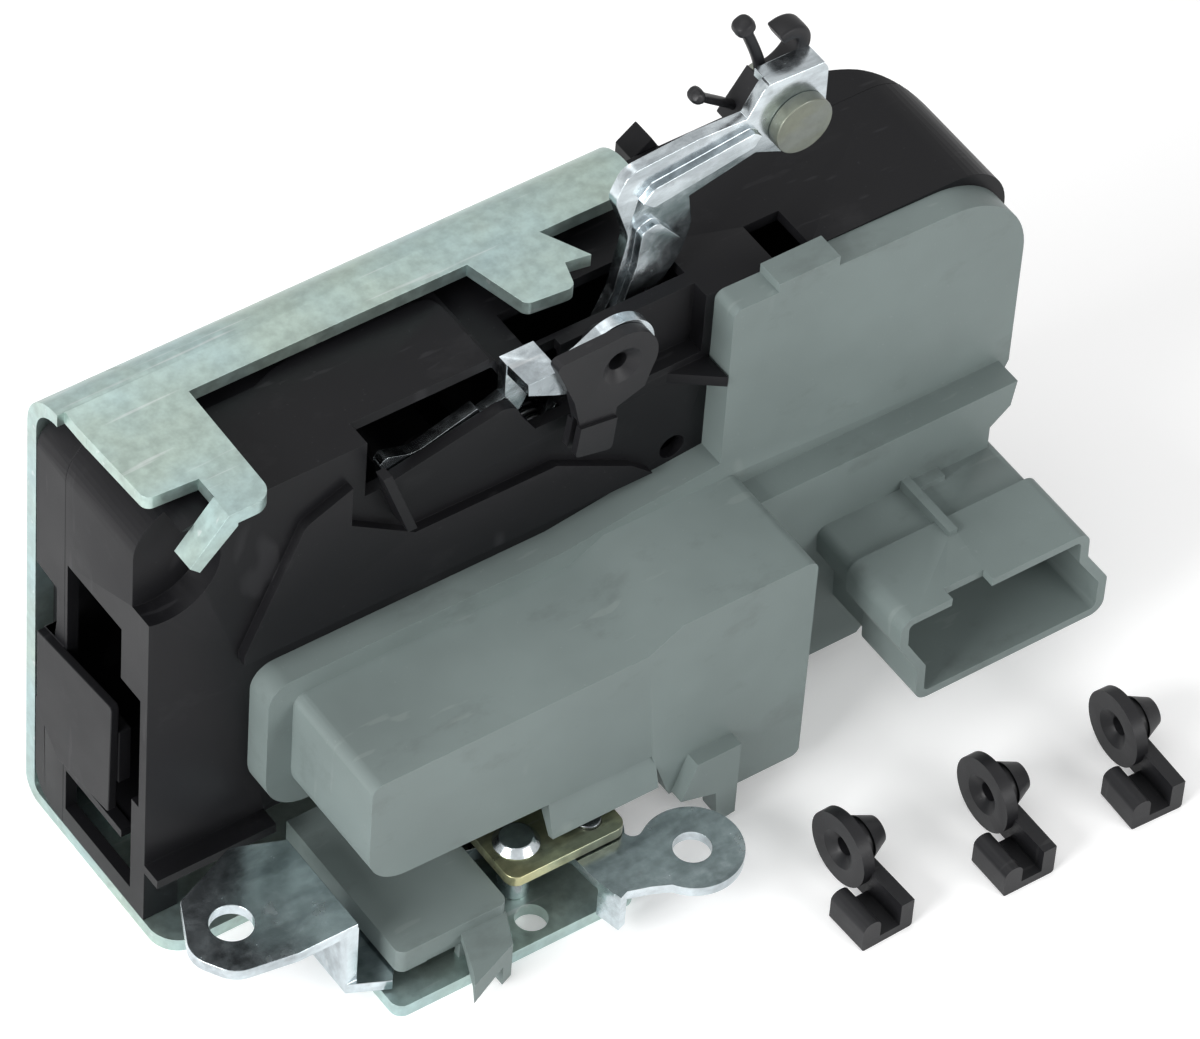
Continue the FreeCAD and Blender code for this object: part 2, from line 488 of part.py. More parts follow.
def latch_cover():
    """Small grey cover over the pawl, with a snap hook over the front edge of the plate."""
    body = prism("latch_cover_body", "XY", [
        ("25", "-31"), ("44.5", "-31"), ("44.5", "-0.4"), ("25", "-0.4")], "plate_thick", "10.2",
        [("1.5", [0, 1])])
    hollow = block("latch_cover_hollow", ("26.4", "43.1"), ("-29.6", "0"), ("2", "9"))
    inner_way = block("latch_cover_inner_way", ("24", "36"), ("-32", "0"), ("2", "5.6"))
    pawl_way = block("latch_cover_pawl_way", ("42", "46"), ("-29", "0"), ("2", "9"))
    hook = prism("latch_cover_hook", "XY", [
        ("36.2", "-30.6"), ("44.3", "-30.6"), ("41.6", "-36.6"), ("32.4", "-40.2"), ("33.6", "-38")], "0.6",
        "8")
    hook_under = prism("latch_cover_hook_under", "YZ", [
        ("-42", "0"), ("-42", "3"), ("-33", "6.4"), ("-30.9", "6.4"), ("-30.9", "0")], "30", "39.4")
    plate_room = block("latch_cover_plate_room", ("tongue_left", "tongue_right"), ("tongue_front", "-30"),
                       ("-1", "plate_thick"))
    node("latch_cover", cut("latch_cover_done", fuse("latch_cover_whole", body, hook), hollow, inner_way,
        pawl_way,
                            hook_under, plate_room))


def arc_face(points):
    """A flat face from straight runs and arcs: a point is (x, y), an arc is (via, end)."""
    edges = []
    here = FreeCAD.Vector(*points[0], 0)
    for item in points[1:] + [points[0]]:
        if isinstance(item[0], tuple):
            via = FreeCAD.Vector(*item[0], 0)
            end = FreeCAD.Vector(*item[1], 0)
            edges.append(Part.Arc(here, via, end).toShape())
        else:
            end = FreeCAD.Vector(*item, 0)
            if here.distanceToPoint(end) < 1e-6:
                continue
            edges.append(Part.LineSegment(here, end).toShape())
        here = end
    return Part.Face(Part.Wire(edges))


def latch_fork():
    """Steel fork drawn as it stands when it holds the striker; at rest it stands open."""
    fx, fy, seat, lobe = size("fork_x"), size("fork_y"), size("slot_seat"), size("fork_lobe")
    sx = size("slot_x")
    throat = 4.7
    lobe_start = math.radians(236)
    lobe_mid = math.radians(260)
    lobe_end = math.radians(285)
    around = [(fx + lobe * math.cos(a), fy + lobe * math.sin(a)) for a in (lobe_start, lobe_mid, lobe_end)]
    face = arc_face([
        (sx - 5.2, seat + 8.6), ((sx - 7, seat + 7), (sx - 6.5, seat + throat)), (sx, seat + throat),
        ((sx + throat, seat), (sx, seat - throat)), (sx - 9, seat - throat),
        ((sx - 10.4, seat - 8), (sx - 8.5, seat - 11.5)),
        (sx + 6, seat - 15.5), (sx + 10.3, seat - 15.8), around[0], (around[1], around[2]),
        ((fx + 11.6, fy - 5), (fx + 10, fy + 11)), ((fx, fy + 15), (fx - 8, fy + 15.5))])
    low, thick = size("fork_low"), size("fork_thick")
    face.translate(FreeCAD.Vector(0, 0, low))
    solid = face.extrude(FreeCAD.Vector(0, 0, thick))
    bore = Part.makeCylinder(size("fork_pin_r") + size("pin_gap"), thick + 2, FreeCAD.Vector(fx, fy, low - 1))
    fork = doc.addObject("Part::Feature", "fork_steel")
    fork.Shape = solid.cut(bore)
    node("fork", fork, ("fork_x", "fork_y", "fork_turn"))


def latch_pawl():
    """Steel pawl drawn as it stands when it holds the fork; at rest it rides on the fork's lobe."""
    hub = rod("pawl_hub", "z", "pawl_x", "pawl_y", "pawl_low", "6", "pawl_thick")
    arm = prism("pawl_arm", "XY", [
        ("pawl_x + 1", "pawl_y + 5.6"), ("pawl_x + 9", "pawl_y - 4"), ("fork_x - 12", "pawl_y - 3.6"),
        ("fork_x - 12", "pawl_y - 6.9"), ("pawl_x + 14", "pawl_y - 6.6"), ("pawl_x - 2", "pawl_y - 5.4")],
        "pawl_low", "pawl_low + pawl_thick", [("6", [1]), ("1.4", [3])])
    bore = rod("pawl_bore", "z", "pawl_x", "pawl_y", "pawl_low - 1", "pin_r + pin_gap", "pawl_thick + 2")
    node("pawl", cut("pawl_done", fuse("pawl_whole", hub, arm), bore), ("pawl_x", "pawl_y", "pawl_turn"))


def latch_fixed_pieces():
    """Backing plate, pins, rivets and the rubber buffer behind the shut face."""
    top = "backing_low + backing_thick"
    plate = prism("backing_blank", "XY", [
        ("60.4", "26"), ("97", "26"), ("97", "-3.4"), ("75.4", "-3.4"), ("74", "-12"), ("66.6", "-22"),
        ("66.6", "-30"), ("45.6", "-30"),
        ("45.6", "-6.2"), ("60.4", "-6.2")], "backing_low", top, [("3", [0, 1, 2]), ("2", [6, 7])])
    rivets = [("50.5", "-23.8"), ("93", "12"), ("93", "0.4")]
    holes = [rod("backing_hole_%d" % i, "z", x, y, "backing_low - 1", "2", "backing_thick + 2")
             for i, (x, y) in enumerate(rivets)]
    holes.append(rod("backing_fork_hole", "z", "fork_x", "fork_y", "backing_low - 1", "fork_pin_r - 1",
                     "backing_thick + 2"))
    holes.append(rod("backing_key_hole", "z", "key_x", "key_y", "backing_low - 1", "pin_r - 1",
        "backing_thick + 2"))
    node("backing_plate", cut("backing_done", plate, *holes))
    group_parts = []
    for i, (x, y) in enumerate(rivets):
        group_parts.append(fuse(
            "plate_rivet_%d" % i,
            rod("rivet_spacer_%d" % i, "z", x, y, "plate_thick", "2.6", "backing_low - plate_thick"),
            rod("rivet_shank_%d" % i, "z", x, y, "plate_thick", "2", top + " - plate_thick"),
            rod("rivet_head_%d" % i, "z", x, y, top, "3.8", "1.4", "2.6")))
    node("plate_rivets", group("plate_rivets_group", *group_parts))
    node("fork_pivot_pin", fuse(
        "fork_pin_whole",
        rod("fork_pin_foot", "z", "fork_x", "fork_y", "plate_thick", "fork_pin_r + 2",
        "fork_low - plate_thick - 0.3"),
        rod("fork_pin_shank", "z", "fork_x", "fork_y", "plate_thick", "fork_pin_r",
        "backing_low - plate_thick"),
        rod("fork_pin_neck", "z", "fork_x", "fork_y", "backing_low", "fork_pin_r - 1", "backing_thick"),
        rod("fork_pin_head", "z", "fork_x", "fork_y", top, "fork_pin_r", "1.2", "fork_pin_r - 1.2")))
    node("pawl_pivot_pin", fuse(
        "pawl_pin_whole",
        rod("pawl_pin_shank", "z", "pawl_x", "pawl_y", "plate_thick", "pin_r", "8.6 - plate_thick"),
        rod("pawl_pin_tip", "z", "pawl_x", "pawl_y", "8.6", "pin_r", "0.4", "pin_r - 0.4")))
    node("key_lever_pin", fuse(
        "key_pin_whole",
        rod("key_pin_head", "z", "key_x", "key_y", "key_low - 1.6", "pin_r + 0.5", "1.3"),
        rod("key_pin_shank", "z", "key_x", "key_y", "key_low - 1.6", "pin_r", "backing_low - key_low + 1.6"),
        rod("key_pin_neck", "z", "key_x", "key_y", "backing_low", "pin_r - 1", "backing_thick"),
        rod("key_pin_cap", "z", "key_x", "key_y", top, "pin_r - 1", "0.6")))
    node("fork_spring", coil("fork_spring_wire", "fork_x", "fork_y", "fork_low + fork_thick + 0.5", 4.6, 0.4,
        1.25, 0.9,
                             3.6, "z"))
    node("striker_buffer", prism("buffer_block", "XY", [
        ("slot_x - 5", "slot_seat - slot_half - 2.4"), ("slot_x + 5", "slot_seat - slot_half - 2.4"),
        ("slot_x + 8", "slot_seat - slot_half - 8"), ("slot_x - 5.6", "slot_seat - slot_half - 8")],
        top, "18.5", [("1.2", [0, 1, 2, 3])]))


def inside_lever():
    """Bent zinc lever: eye for the inside rod, a drop, and a low arm to the pawl's pin."""
    high = "inner_top + inner_thick"
    upper = prism("inner_upper", "XY", [
        ("-0.5", "-10.5"), ("11.3", "-5.6"), ("19.4", "-8.9"), ("19.4", "-28"), ("9", "-28"), ("-1", "-26.4"),
        ("-5", "-20")], "inner_top", high, [("2", [0, 1]), ("6", [4]), ("5", [5, 6])],
        [("inner_hole_x", "inner_hole_y", "inner_hole_r")])
    drop = prism("inner_drop", "XZ", [
        ("17.6", "inner_low"), ("17.6", "inner_top + 1"), ("19.6", "inner_top + 1"), ("19.6", "inner_low")],
        "-28", "-17")
    lower = prism("inner_lower", "XY", [
        ("17.6", "-17"), ("28", "pawl_y + 2"), ("pawl_x", "pawl_y + 6"), ("pawl_x + 6", "pawl_y"),
        ("pawl_x + 4", "-17"),
        ("30", "-23"), ("24", "-31"), ("17.6", "-28")], "inner_low", "inner_low + inner_thick",
        [("6", [2]), ("3", [3]), ("4", [5])])
    bore = rod("inner_bore", "z", "pawl_x", "pawl_y", "inner_low - 1", "pin_r + pin_gap", "inner_thick + 2")
    node("inside_lever", cut("inner_done", fuse("inner_whole", upper, drop, lower), bore))


def key_lever():
    """Flat zinc lever with a round eye for the key cylinder's rod and a twisted stop tab."""
    eye = rod("key_eye", "z", "key_eye_x", "key_eye_y", "key_low", "key_eye_r", "key_thick")
    arm = prism("key_arm", "XY", [
        ("key_x - 5", "key_y"), ("key_x + 5", "key_y"), ("key_x + 4", "-32"),
        ("key_eye_x - 3", "key_eye_y + 7.4"),
        ("key_eye_x + 1", "key_eye_y - key_eye_r"), ("64", "-40.2"), ("58.4", "-38.4"), ("57.6", "-34")],
        "key_low", "key_low + key_thick", [("1.5", [2])])
    hub = rod("key_hub", "z", "key_x", "key_y", "key_low", "5.6", "key_thick")
    tab = prism("key_tab", "XY", [("57.8", "-35.2"), ("59.4", "-34.8"), ("60.4", "-39"), ("58.8", "-39.6")],
                "3", "key_low + key_thick")
    holes = [rod("key_eye_hole", "z", "key_eye_x", "key_eye_y", "key_low - 1", "key_hole_r", "key_thick + 2"),
             rod("key_bore", "z", "key_x", "key_y", "key_low - 1", "pin_r + pin_gap", "key_thick + 2")]
    node("key_lever", cut("key_done", fuse("key_whole", eye, arm, hub, tab), *holes))


def outside_lever():
    """Stamped zinc lever that rises out of the case and carries the handle rod's holder."""
    back = "outer_y + lever_thick"
    plate = prism("outer_plate", "XZ", [
        ("outer_pivot_x - 7", "outer_pivot_z - 2"), ("82.6", "78"), ("85.4", "84"), ("87.3", "94.4"),
        ("84.4", "103"),
        ("86.6", "107.6"), ("99", "108.6"), ("107.6", "108.2"), ("110.6", "113.4"), ("121.8", "112.8"),
        ("122", "98"),
        ("115.4", "97.4"), ("109.6", "100.2"), ("98", "97.4"), ("98.8", "91.4"), ("97.4", "86.4"),
        ("94.6", "82"),
        ("outer_pivot_x + 7", "outer_pivot_z - 2")], "outer_y", back,
        [("4", [2, 3]), ("3", [4, 5]), ("2", [8, 9, 10, 11, 14]), ("3", [15])])
    hub = rod("outer_hub", "y", "outer_pivot_x", "outer_y", "outer_pivot_z", "7.4", "lever_thick")
    bead = prism("outer_bead", "XZ", [
        ("90.6", "99.8"), ("108.4", "103"), ("109.6", "104.8"), ("108.2", "106"), ("90.6", "103.8"),
        ("88.6", "101.6")],
        "outer_y - 1.3", "outer_y + 0.2", [("1.2", [0, 1, 3, 4])])
    rise = prism("outer_rise_bead", "XZ", [
        ("85.6", "80"), ("90.6", "80"), ("95.4", "86.6"), ("96", "91"), ("91.6", "96.4"), ("88.8", "95.6"),
        ("88.2", "89")],
        "outer_y - 1.4", "outer_y + 0.2", [("1.5", [2, 3, 4, 5])])
    lip = block("outer_lip", ("111.4", "121"), ("outer_y", "outer_y + 4.4"), ("111.4", "113"))
    bores = [rod("outer_bore", "y", "outer_pivot_x", "outer_y - 1", "outer_pivot_z", "pin_r + pin_gap", "6"),
             rod("outer_rivet_hole", "y", "rivet_x", "outer_y - 2", "rivet_z", "2.5", "6")]
    node("outside_lever", cut("outer_done", fuse("outer_whole", plate, hub, bead, rise, lip), *bores))
    node("outside_lever_pin", fuse(
        "outer_pin_whole",
        rod("outer_pin_shank", "y", "outer_pivot_x", "pin_foot", "outer_pivot_z", "pin_r",
        "pin_end - pin_foot"),
        rod("outer_pin_collar", "y", "outer_pivot_x", "outer_y + lever_thick + 0.4", "outer_pivot_z",
        "pin_r + 2",
            "1.6")))
    node("outside_lever_spring", coil("outer_spring", "outer_pivot_x", "outer_y + lever_thick + 2.6",
        "outer_pivot_z",
                                      4.6, 0.6, 4, 1.5, 12))
    node("holder_rivet", fuse(
        "holder_rivet_whole",
        rod("holder_rivet_head", "y", "rivet_x", "outer_y - 2.2", "rivet_z", "5", "2.2"),
        rod("holder_rivet_shank", "y", "rivet_x", "outer_y - 0.1", "rivet_z", "2.5", "11")))


def rod_holder():
    """Black moulded swivel holder for the outside handle's rod: hub, block, hook and two sprung fingers."""
    front = "outer_y + lever_thick + 0.4"
    hub = rod("holder_hub", "y", "rivet_x", front, "rivet_z", "4.4", "5")
    body = prism("holder_block", "XZ", [
        ("107.6", "103.4"), ("110.4", "99.4"), ("117", "100.4"), ("117", "107.6"), ("112.6", "110.4")],
        front, front + " + 5.4", [("1", [0, 4])])
    finger = prism("holder_finger", "XZ", [
        ("112", "109"), ("109", "120.6"), ("111", "121.2"), ("114.6", "109.4")], front + " + 1.6",
        front + " + 3.8")
    finger_ball = rod("holder_finger_ball", "y", "110", front + " + 1", "121", "1.9", "3.4")
    low_finger = prism("holder_low_finger", "XZ", [
        ("109", "103.4"), ("101.4", "110.2"), ("102.2", "111.6"), ("110", "106")], front + " + 1.6",
        front + " + 3.8")
    low_ball = rod("holder_low_ball", "y", "101.6", front + " + 1", "111", "1.3", "3.4")
    hook = prism("holder_hook", "XZ", [
        ("113.4", "108.4"), ("118.6", "109"), ("121.4", "112.4"), ("120.4", "116.8"), ("116.6", "118"),
        ("115.2", "115.4"),
        ("118", "114.6"), ("118.6", "112.8"), ("116.6", "111"), ("113.4", "110.4")],
        front + " + 0.6", front + " + 4.8", [("1.4", [2, 3])])
    bore = rod("holder_bore", "y", "rivet_x", front + " - 1", "rivet_z", "2.5 + pin_gap", "9")
    lift = block("holder_lip_room", ("110", "122"), ("outer_y", "outer_y + 4.8"), ("110.9", "113.6"))
    node("rod_holder", cut("holder_done", fuse("holder_whole", hub, body, finger, finger_ball, low_finger,
        low_ball,
                                               hook), bore, lift))


def lock_lever():
    """Zinc lock lever: pivots inside the case, comes out over the front edge and steps forward to its eye."""
    back = "lock_y + lever_thick"
    plate = prism("lock_plate", "XZ", [
        ("lock_pivot_x - 6", "lock_pivot_z - 2"), ("41.8", "73"), ("40.4", "78.8"), ("46.8", "76.4"),
        ("52.5", "78.2"),
        ("57.6", "79.8"), ("58.6", "78.2"), ("62.4", "79.6"), ("62.4", "86.4"), ("68.4", "86.4"),
        ("68.4", "82.6"),
        ("66", "77"), ("lock_pivot_x + 6", "lock_pivot_z - 2")], "lock_y", back,
        [("1.2", [2]), ("5", [3]), ("1", [9])])
    hub = rod("lock_hub", "y", "lock_pivot_x", "lock_y", "lock_pivot_z", "6", "lever_thick")
    step = prism("lock_step", "XY", [
        ("62.4", back), ("68.4", back), ("68.4", "lock_arm_y"), ("62.8", "lock_arm_y")], "84.4", "86.4",
        [("0.8", [3])])
    arm = prism("lock_arm", "XZ", [
        ("62.8", "86.4"), ("63", "84"), ("68", "81.4"), ("clip_x - 2", "clip_z - 6.1"),
        ("clip_x + 0.6", "clip_z - 6.6"),
        ("clip_x + 0.6", "clip_z + 6.6"), ("clip_x - 2.4", "clip_z + 5.9"), ("72", "87.6"), ("68", "86.4")],
        "lock_arm_y", "lock_arm_y + lever_thick")
    eye = rod("lock_eye", "y", "clip_x + 0.6", "lock_arm_y", "clip_z", "6.6", "lever_thick")
    bores = [rod("lock_bore", "y", "lock_pivot_x", "lock_y - 1", "lock_pivot_z", "pin_r - 0.5 + pin_gap",
        "6"),
             rod("lock_clip_hole", "y", "clip_x", "lock_arm_y - 1", "clip_z", "stud_r + pin_gap", "5")]
    node("lock_lever", cut("lock_done", fuse("lock_whole", plate, hub, step, arm, eye), *bores))
    node("lock_lever_pin", fuse(
        "lock_pin_whole",
        rod("lock_pin_shank", "y", "lock_pivot_x", "case_wall - 1", "lock_pivot_z", "pin_r - 0.5",
            "pin_end - case_wall + 1"),
        rod("lock_pin_collar", "y", "lock_pivot_x", "lock_y + lever_thick + 0.4", "lock_pivot_z", "pin_r + 1",
        "1.6")))


def clip_head(name, x, y, z):
    """What all rod clips share: a disc whose back lies at y, and a snap stud behind it."""
    disc = rod(name + "_disc", "y", x, "%s - clip_thick" % y, z, "clip_r", "clip_thick")
    stud = rod(name + "_stud", "y", x, "%s - 0.2" % y, z, "stud_r", "lever_thick + 0.6")
    bulb = rod(name + "_bulb", "y", x, "%s + lever_thick + 0.3" % y, z, "bulb_r", "3", "bulb_r - 1.4")
    return [disc, stud, bulb]


def clip_bore(name, x, y, z):
    """Countersunk hole for the rod's bent end."""
    return [rod(name + "_bore", "y", x, "%s - clip_thick - 1" % y, z, "rod_end_r", "5.2"),
            rod(name + "_sink", "y", x, "%s - clip_thick" % y, z, "rod_end_r + 1.8", "1.2", "rod_end_r")]


def fitted_clip():
    """The clip on the lock lever, with a leg that hangs from its disc and a groove along the leg's side."""
    x, y, z = "clip_x", "lock_arm_y - 0.1", "clip_z"

    def beside(spots):
        """Points given from the clip's hole."""
        return [("clip_x + (%s)" % a, "clip_z + (%s)" % b) for a, b in spots]

    web = prism("clip_web", "XZ", beside([
        (-12, 6), (-1, 6.3), (6, -2), (4.4, -6.6), (-0.4, -8.4), (-1.2, -16.4), (-7.8, -14.8), (-7, -8.8),
        (-8.2, -3.4)]),
        y + " - clip_thick", y, [("1", [0, 5, 6]), ("2.5", [7]), ("3", [8])])
    leg = prism("clip_leg", "XZ", beside([(-7.1, -9), (-0.6, -10), (-1.2, -16.4), (-7.8, -14.8)]),
                y + " - clip_thick - 0.6", y + " + 0.8", [("0.8", [2, 3])])
    groove = prism("clip_groove", "XZ", beside([(-10, -18), (-9, -8), (-5.6, -8), (-6.4, -18)]), y + " - 1.5",
        y + " - 0.5")
    whole = fuse("clip_whole", web, leg, *clip_head("clip", x, y, z))
    node("rod_clip", cut("clip_done", whole, groove, *clip_bore("clip", x, y, z)))


def actuator_drive():
    """Motor with its worm along X, and the worm wheel on a pin across the cover."""
    my, mz = "motor_y", "motor_z"
    can_end = "motor_left + motor_long"
    can = rod("motor_can_round", "x", "motor_left", my, mz, "motor_r", "motor_long")
    flats = block("motor_flats", ("motor_left - 1", can_end + " + 1"),
        ("motor_y - motor_r - 1", "motor_y + motor_r + 1"),
                  ("motor_z - 7.6", "motor_z + 7.6"))
    nose = rod("motor_nose", "x", can_end + " - 0.5", my, mz, "3", "2")
    bore = rod("motor_bore", "x", "motor_left - 1", my, mz, "shaft_r + pin_gap", "motor_long + 6")
    node("motor_can", cut("motor_can_done", fuse("motor_can_whole", shared("motor_can_flat", can, flats),
        nose), bore))
    cap = shared("motor_cap_flat", rod("motor_cap_round", "x", "motor_left - 3", my, mz, "motor_r", "3"),
                 block("motor_cap_flats", ("motor_left - 4", "motor_left + 1"),
                 ("motor_y - 20", "motor_y + 20"),
                       ("motor_z - 7.6", "motor_z + 7.6")))
    node("motor_end_cap", cut("motor_cap_done", cap, rod("motor_cap_bore", "x", "motor_left - 5", my, mz,
                                                         "shaft_r + pin_gap", "8")))
    node("motor_shaft", fuse(
        "motor_shaft_whole",
        rod("motor_shaft_rod", "x", "motor_left - 2.5", my, mz, "shaft_r", "gear_x + 8.6 - motor_left + 2.5"),
        rod("motor_shaft_end", "x", "gear_x + 8.6", my, mz, "shaft_r", "0.4", "shaft_r - 0.4")))
    module, teeth = size("gear_module"), int(size("gear_teeth"))
    lead = math.pi * module
    pitch_r = module * teeth / 2
    worm_r, shaft_r = size("worm_r"), size("shaft_r")
    core_r, tip_r, long = worm_r - 1.2 * module, worm_r + 0.9 * module, 5 * lead
    gear_x, gear_y, gear_z = size("gear_x"), size("motor_y"), size("motor_z") - worm_r - pitch_r
    start = FreeCAD.Vector(gear_x - long / 2, gear_y, size("motor_z"))
    half_root, half_tip, sunk = 0.3 * lead, 0.1 * lead, core_r - 0.15
    corners = [(sunk, -half_root), (tip_r, -half_tip), (tip_r, half_tip), (sunk, half_root),
        (sunk, -half_root)]
    profile = Part.makePolygon([FreeCAD.Vector(a, 0, b) for a, b in corners])
    thread = Part.Wire(Part.makeHelix(lead, long - lead, core_r)).makePipeShell([profile], True, True)
    thread.translate(FreeCAD.Vector(0, 0, lead / 2))
    thread.rotate(FreeCAD.Vector(), FreeCAD.Vector(0, 1, 0), 90)
    thread.translate(start)
    along = FreeCAD.Vector(1, 0, 0)
    worm = doc.addObject("Part::Feature", "worm_solid")
    worm.Shape = Part.makeCylinder(core_r, long, start, along).fuse(thread).cut(
        Part.makeCylinder(shaft_r, long + 2, start - along, along))
    node("worm", worm)

    # The wheel meshes with the worm from below; its small pinion drives the slider's rack
    wide = size("gear_wide")
    across = FreeCAD.Vector(0, 1, 0)
    wheel_face = toothed(teeth, pitch_r - 1.2 * module, pitch_r + 0.8 * module, pitch_r, 0.44, 0.2, 0)
    wheel = wheel_face.extrude(across * wide)
    wheel.translate(FreeCAD.Vector(gear_x, gear_y - wide / 2, gear_z))
    pinion_r, pinion_module = size("pinion_r"), 2 * size("pinion_r") / size("pinion_teeth")
    pinion = toothed(int(size("pinion_teeth")), pinion_r - 1.1 * pinion_module,
        pinion_r + 0.8 * pinion_module,
                     pinion_r, 0.4 * pinion_module, 0.22, math.pi / 2).extrude(across * 7)
    pinion.translate(FreeCAD.Vector(gear_x, gear_y + wide / 2, gear_z))
    pin = Part.makeCylinder(size("gear_pin_r") + size("pin_gap"), 40,
        FreeCAD.Vector(gear_x, gear_y - 20, gear_z), across)
    gear = doc.addObject("Part::Feature", "gear_solid")
    gear.Shape = wheel.fuse(pinion).cut(pin)
    node("worm_wheel", gear)
    gear_height = "motor_z - worm_r - gear_module * gear_teeth / 2"
    node("worm_wheel_pin", fuse(
        "gear_pin_whole",
        rod("gear_pin_shank", "y", "gear_x", "-box_deep + cover_wall", gear_height, "gear_pin_r",
            "box_deep - cover_wall"),
        rod("gear_pin_collar", "y", "gear_x", "-box_deep + cover_wall", gear_height, "gear_pin_r + 2",
            "box_deep - cover_wall + motor_y - gear_wide / 2 - 0.4")))

    # Rack beside the pinion; its foot slides on the case front and its finger on the column's wall
    step = math.pi * pinion_module
    line_x = gear_x - pinion_r
    rack_low, rack_high, rack_front = gear_z - 3.4 * step, gear_z + 3 * step, gear_y + worm_r + 1.1
    spots = [FreeCAD.Vector(line_x - 4, 0, rack_low), FreeCAD.Vector(line_x - 4, 0, rack_high)]
    for number in range(6):
        at = rack_high - (number + 1) * step
        for depth, side in ((-1.0, 1), (0.8, 1), (0.8, -1), (-1.0, -1)):
            half = 0.5 - 0.16 * depth
            spots.append(FreeCAD.Vector(line_x + depth * pinion_module, 0, at + side * half))
    spots.append(FreeCAD.Vector(line_x - 1.0, 0, rack_low))
    rack = Part.Face(Part.makePolygon(spots + [spots[0]])).extrude(across * 3.8)
    rack.translate(FreeCAD.Vector(0, rack_front, 0))
    wall_x = 77 + size("cover_wall")
    finger = Part.makeBox(line_x - 3.5 - wall_x, 3.8, 6, FreeCAD.Vector(wall_x, rack_front, rack_high - 6))
    foot = Part.makeBox(2.6, -rack_front, 9, FreeCAD.Vector(line_x - 4, rack_front, gear_z - 5))
    slider = doc.addObject("Part::Feature", "slider_solid")
    slider.Shape = rack.fuse([finger, foot]).removeSplitter()
    node("lock_slider", slider)


def actuator_electrics():
    """Microswitch, contact board and the blades that stand in the connector shroud."""
    body = block("switch_body", ("66", "77"), ("-10.8", "-5"), ("36", "43"))
    button = rod("switch_button", "x", "77", "-7.8", "39.5", "1.2", "1.4")
    node("microswitch", fuse("switch_whole", body, button))
    board = prism("board_outline", "XZ", [
        ("106", "40"), ("143.5", "40"), ("143.5", "34.6"), ("124", "10"), ("106", "10")],
        "-ledge_deep + cover_wall + 0.4", "-ledge_deep + cover_wall + 2")
    node("contact_board", board)
    node("connector_blades", group("blade_group", *connector_blades("blade")))


def connector_blades(name):
    """Flat blades in two rows."""
    blades = []
    for row in range(2):
        for column in range(5):
            x = "113 + blade_inset + %d" % (column * 6 + row * 4)
            z = "blade_top - %d * blade_row" % row
            blades.append(block("%s_%d_%d" % (name, row, column), (x + " - 1.2", x + " + 1.2"),
                                ("socket_floor - 7", "-ledge_deep + cover_wall + 0.4"),
                                (z + " - 0.4", z + " + 0.4")))
    return blades


def spare_clip(name):
    """A loose clip: the shared head, and an arm that ends in an open channel for the rod.

    It is drawn with its disc upright across Y; the channel then runs along Z and opens to +X."""
    low, arm_low, arm_high = "-clip_r", "-0.6", "1.8"
    lip_high = "%s - rod_groove" % arm_low
    channel = prism(name + "_channel", "XY", [
        (low, lip_high + " - 3.3"), ("-0.8", lip_high + " - 3.3"), ("-0.8", lip_high),
        (low + " + 1.6", lip_high),
        (low + " + 1.6", arm_low), ("-0.4", arm_low), ("-0.4", arm_high), (low, arm_high)], "-13.9", "-5.8",
        [("1.5", [1, 2]), ("0.6", [0, 7])])
    arm = block(name + "_arm", (low, "-0.4"), (arm_low, arm_high), ("-6.4", "0"))
    whole = fuse(name + "_whole", channel, arm, *clip_head(name, "0", "0", "0"))
    return cut(name, whole, *clip_bore(name, "0", "0", "0"))


def spare_clips():
    """Three loose rod clips that lie in front of the lock, as they are supplied with it."""
    clips = []
    for number, (back, yaw) in enumerate([(2.9, 2), (0, 0), (0, -2)]):
        clip = spare_clip("spare_clip_%d" % number)
        turn = FreeCAD.Rotation(FreeCAD.Vector(0, 0, 1), yaw).multiply(FreeCAD.Rotation(FreeCAD.Vector(1, 1,
            1), 240))
        clip.Placement = FreeCAD.Placement(FreeCAD.Vector(), turn)
        clip.setExpression("Placement.Base.x", ex("spare_x + %d * spare_step" % number))
        clip.setExpression("Placement.Base.y", ex("spare_y + %s" % back))
        clip.setExpression("Placement.Base.z", ex("clip_r"))
        clip.recompute()
        clips.append(clip)
    node("spare_rod_clips", group("spare_group", *clips))


for make in (latch_plate, case_shells, actuator_cover, latch_cover, latch_fork, latch_pawl,
        latch_fixed_pieces,
             inside_lever, key_lever, outside_lever, rod_holder, lock_lever, fitted_clip, actuator_drive,
             actuator_electrics, spare_clips):
    make()
doc.recompute()

bad = [item.Name for item in doc.Objects if "Invalid" in item.State or "Error" in item.State]
bad += [item.Label for item in nodes if item.Shape.isNull() or not item.Shape.isValid()]
if bad:
    raise SystemExit("failed objects: " + ", ".join(bad))
os.makedirs("parts", exist_ok=True)
for item in nodes:
    item.Shape.exportStep("parts/%s.step" % item.Label)
    print(item.Label, len(item.Shape.Solids), round(item.Shape.Volume, 1))
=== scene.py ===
import json
import math

import bmesh
import bpy
import numpy as np
from bpy.props import FloatProperty, FloatVectorProperty, IntProperty, PointerProperty
from mathutils import Matrix, Vector


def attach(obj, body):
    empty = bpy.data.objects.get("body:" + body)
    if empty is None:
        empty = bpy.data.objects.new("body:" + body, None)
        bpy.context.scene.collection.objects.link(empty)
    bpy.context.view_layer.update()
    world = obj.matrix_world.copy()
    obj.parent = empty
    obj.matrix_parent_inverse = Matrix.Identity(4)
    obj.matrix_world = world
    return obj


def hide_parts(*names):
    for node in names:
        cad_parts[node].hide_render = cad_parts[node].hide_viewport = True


# Looks of a powered car door lock: zinc pressings, bright levers, black shells and a grey drive cover.
# The frame holds every piece at its real size, in metres.

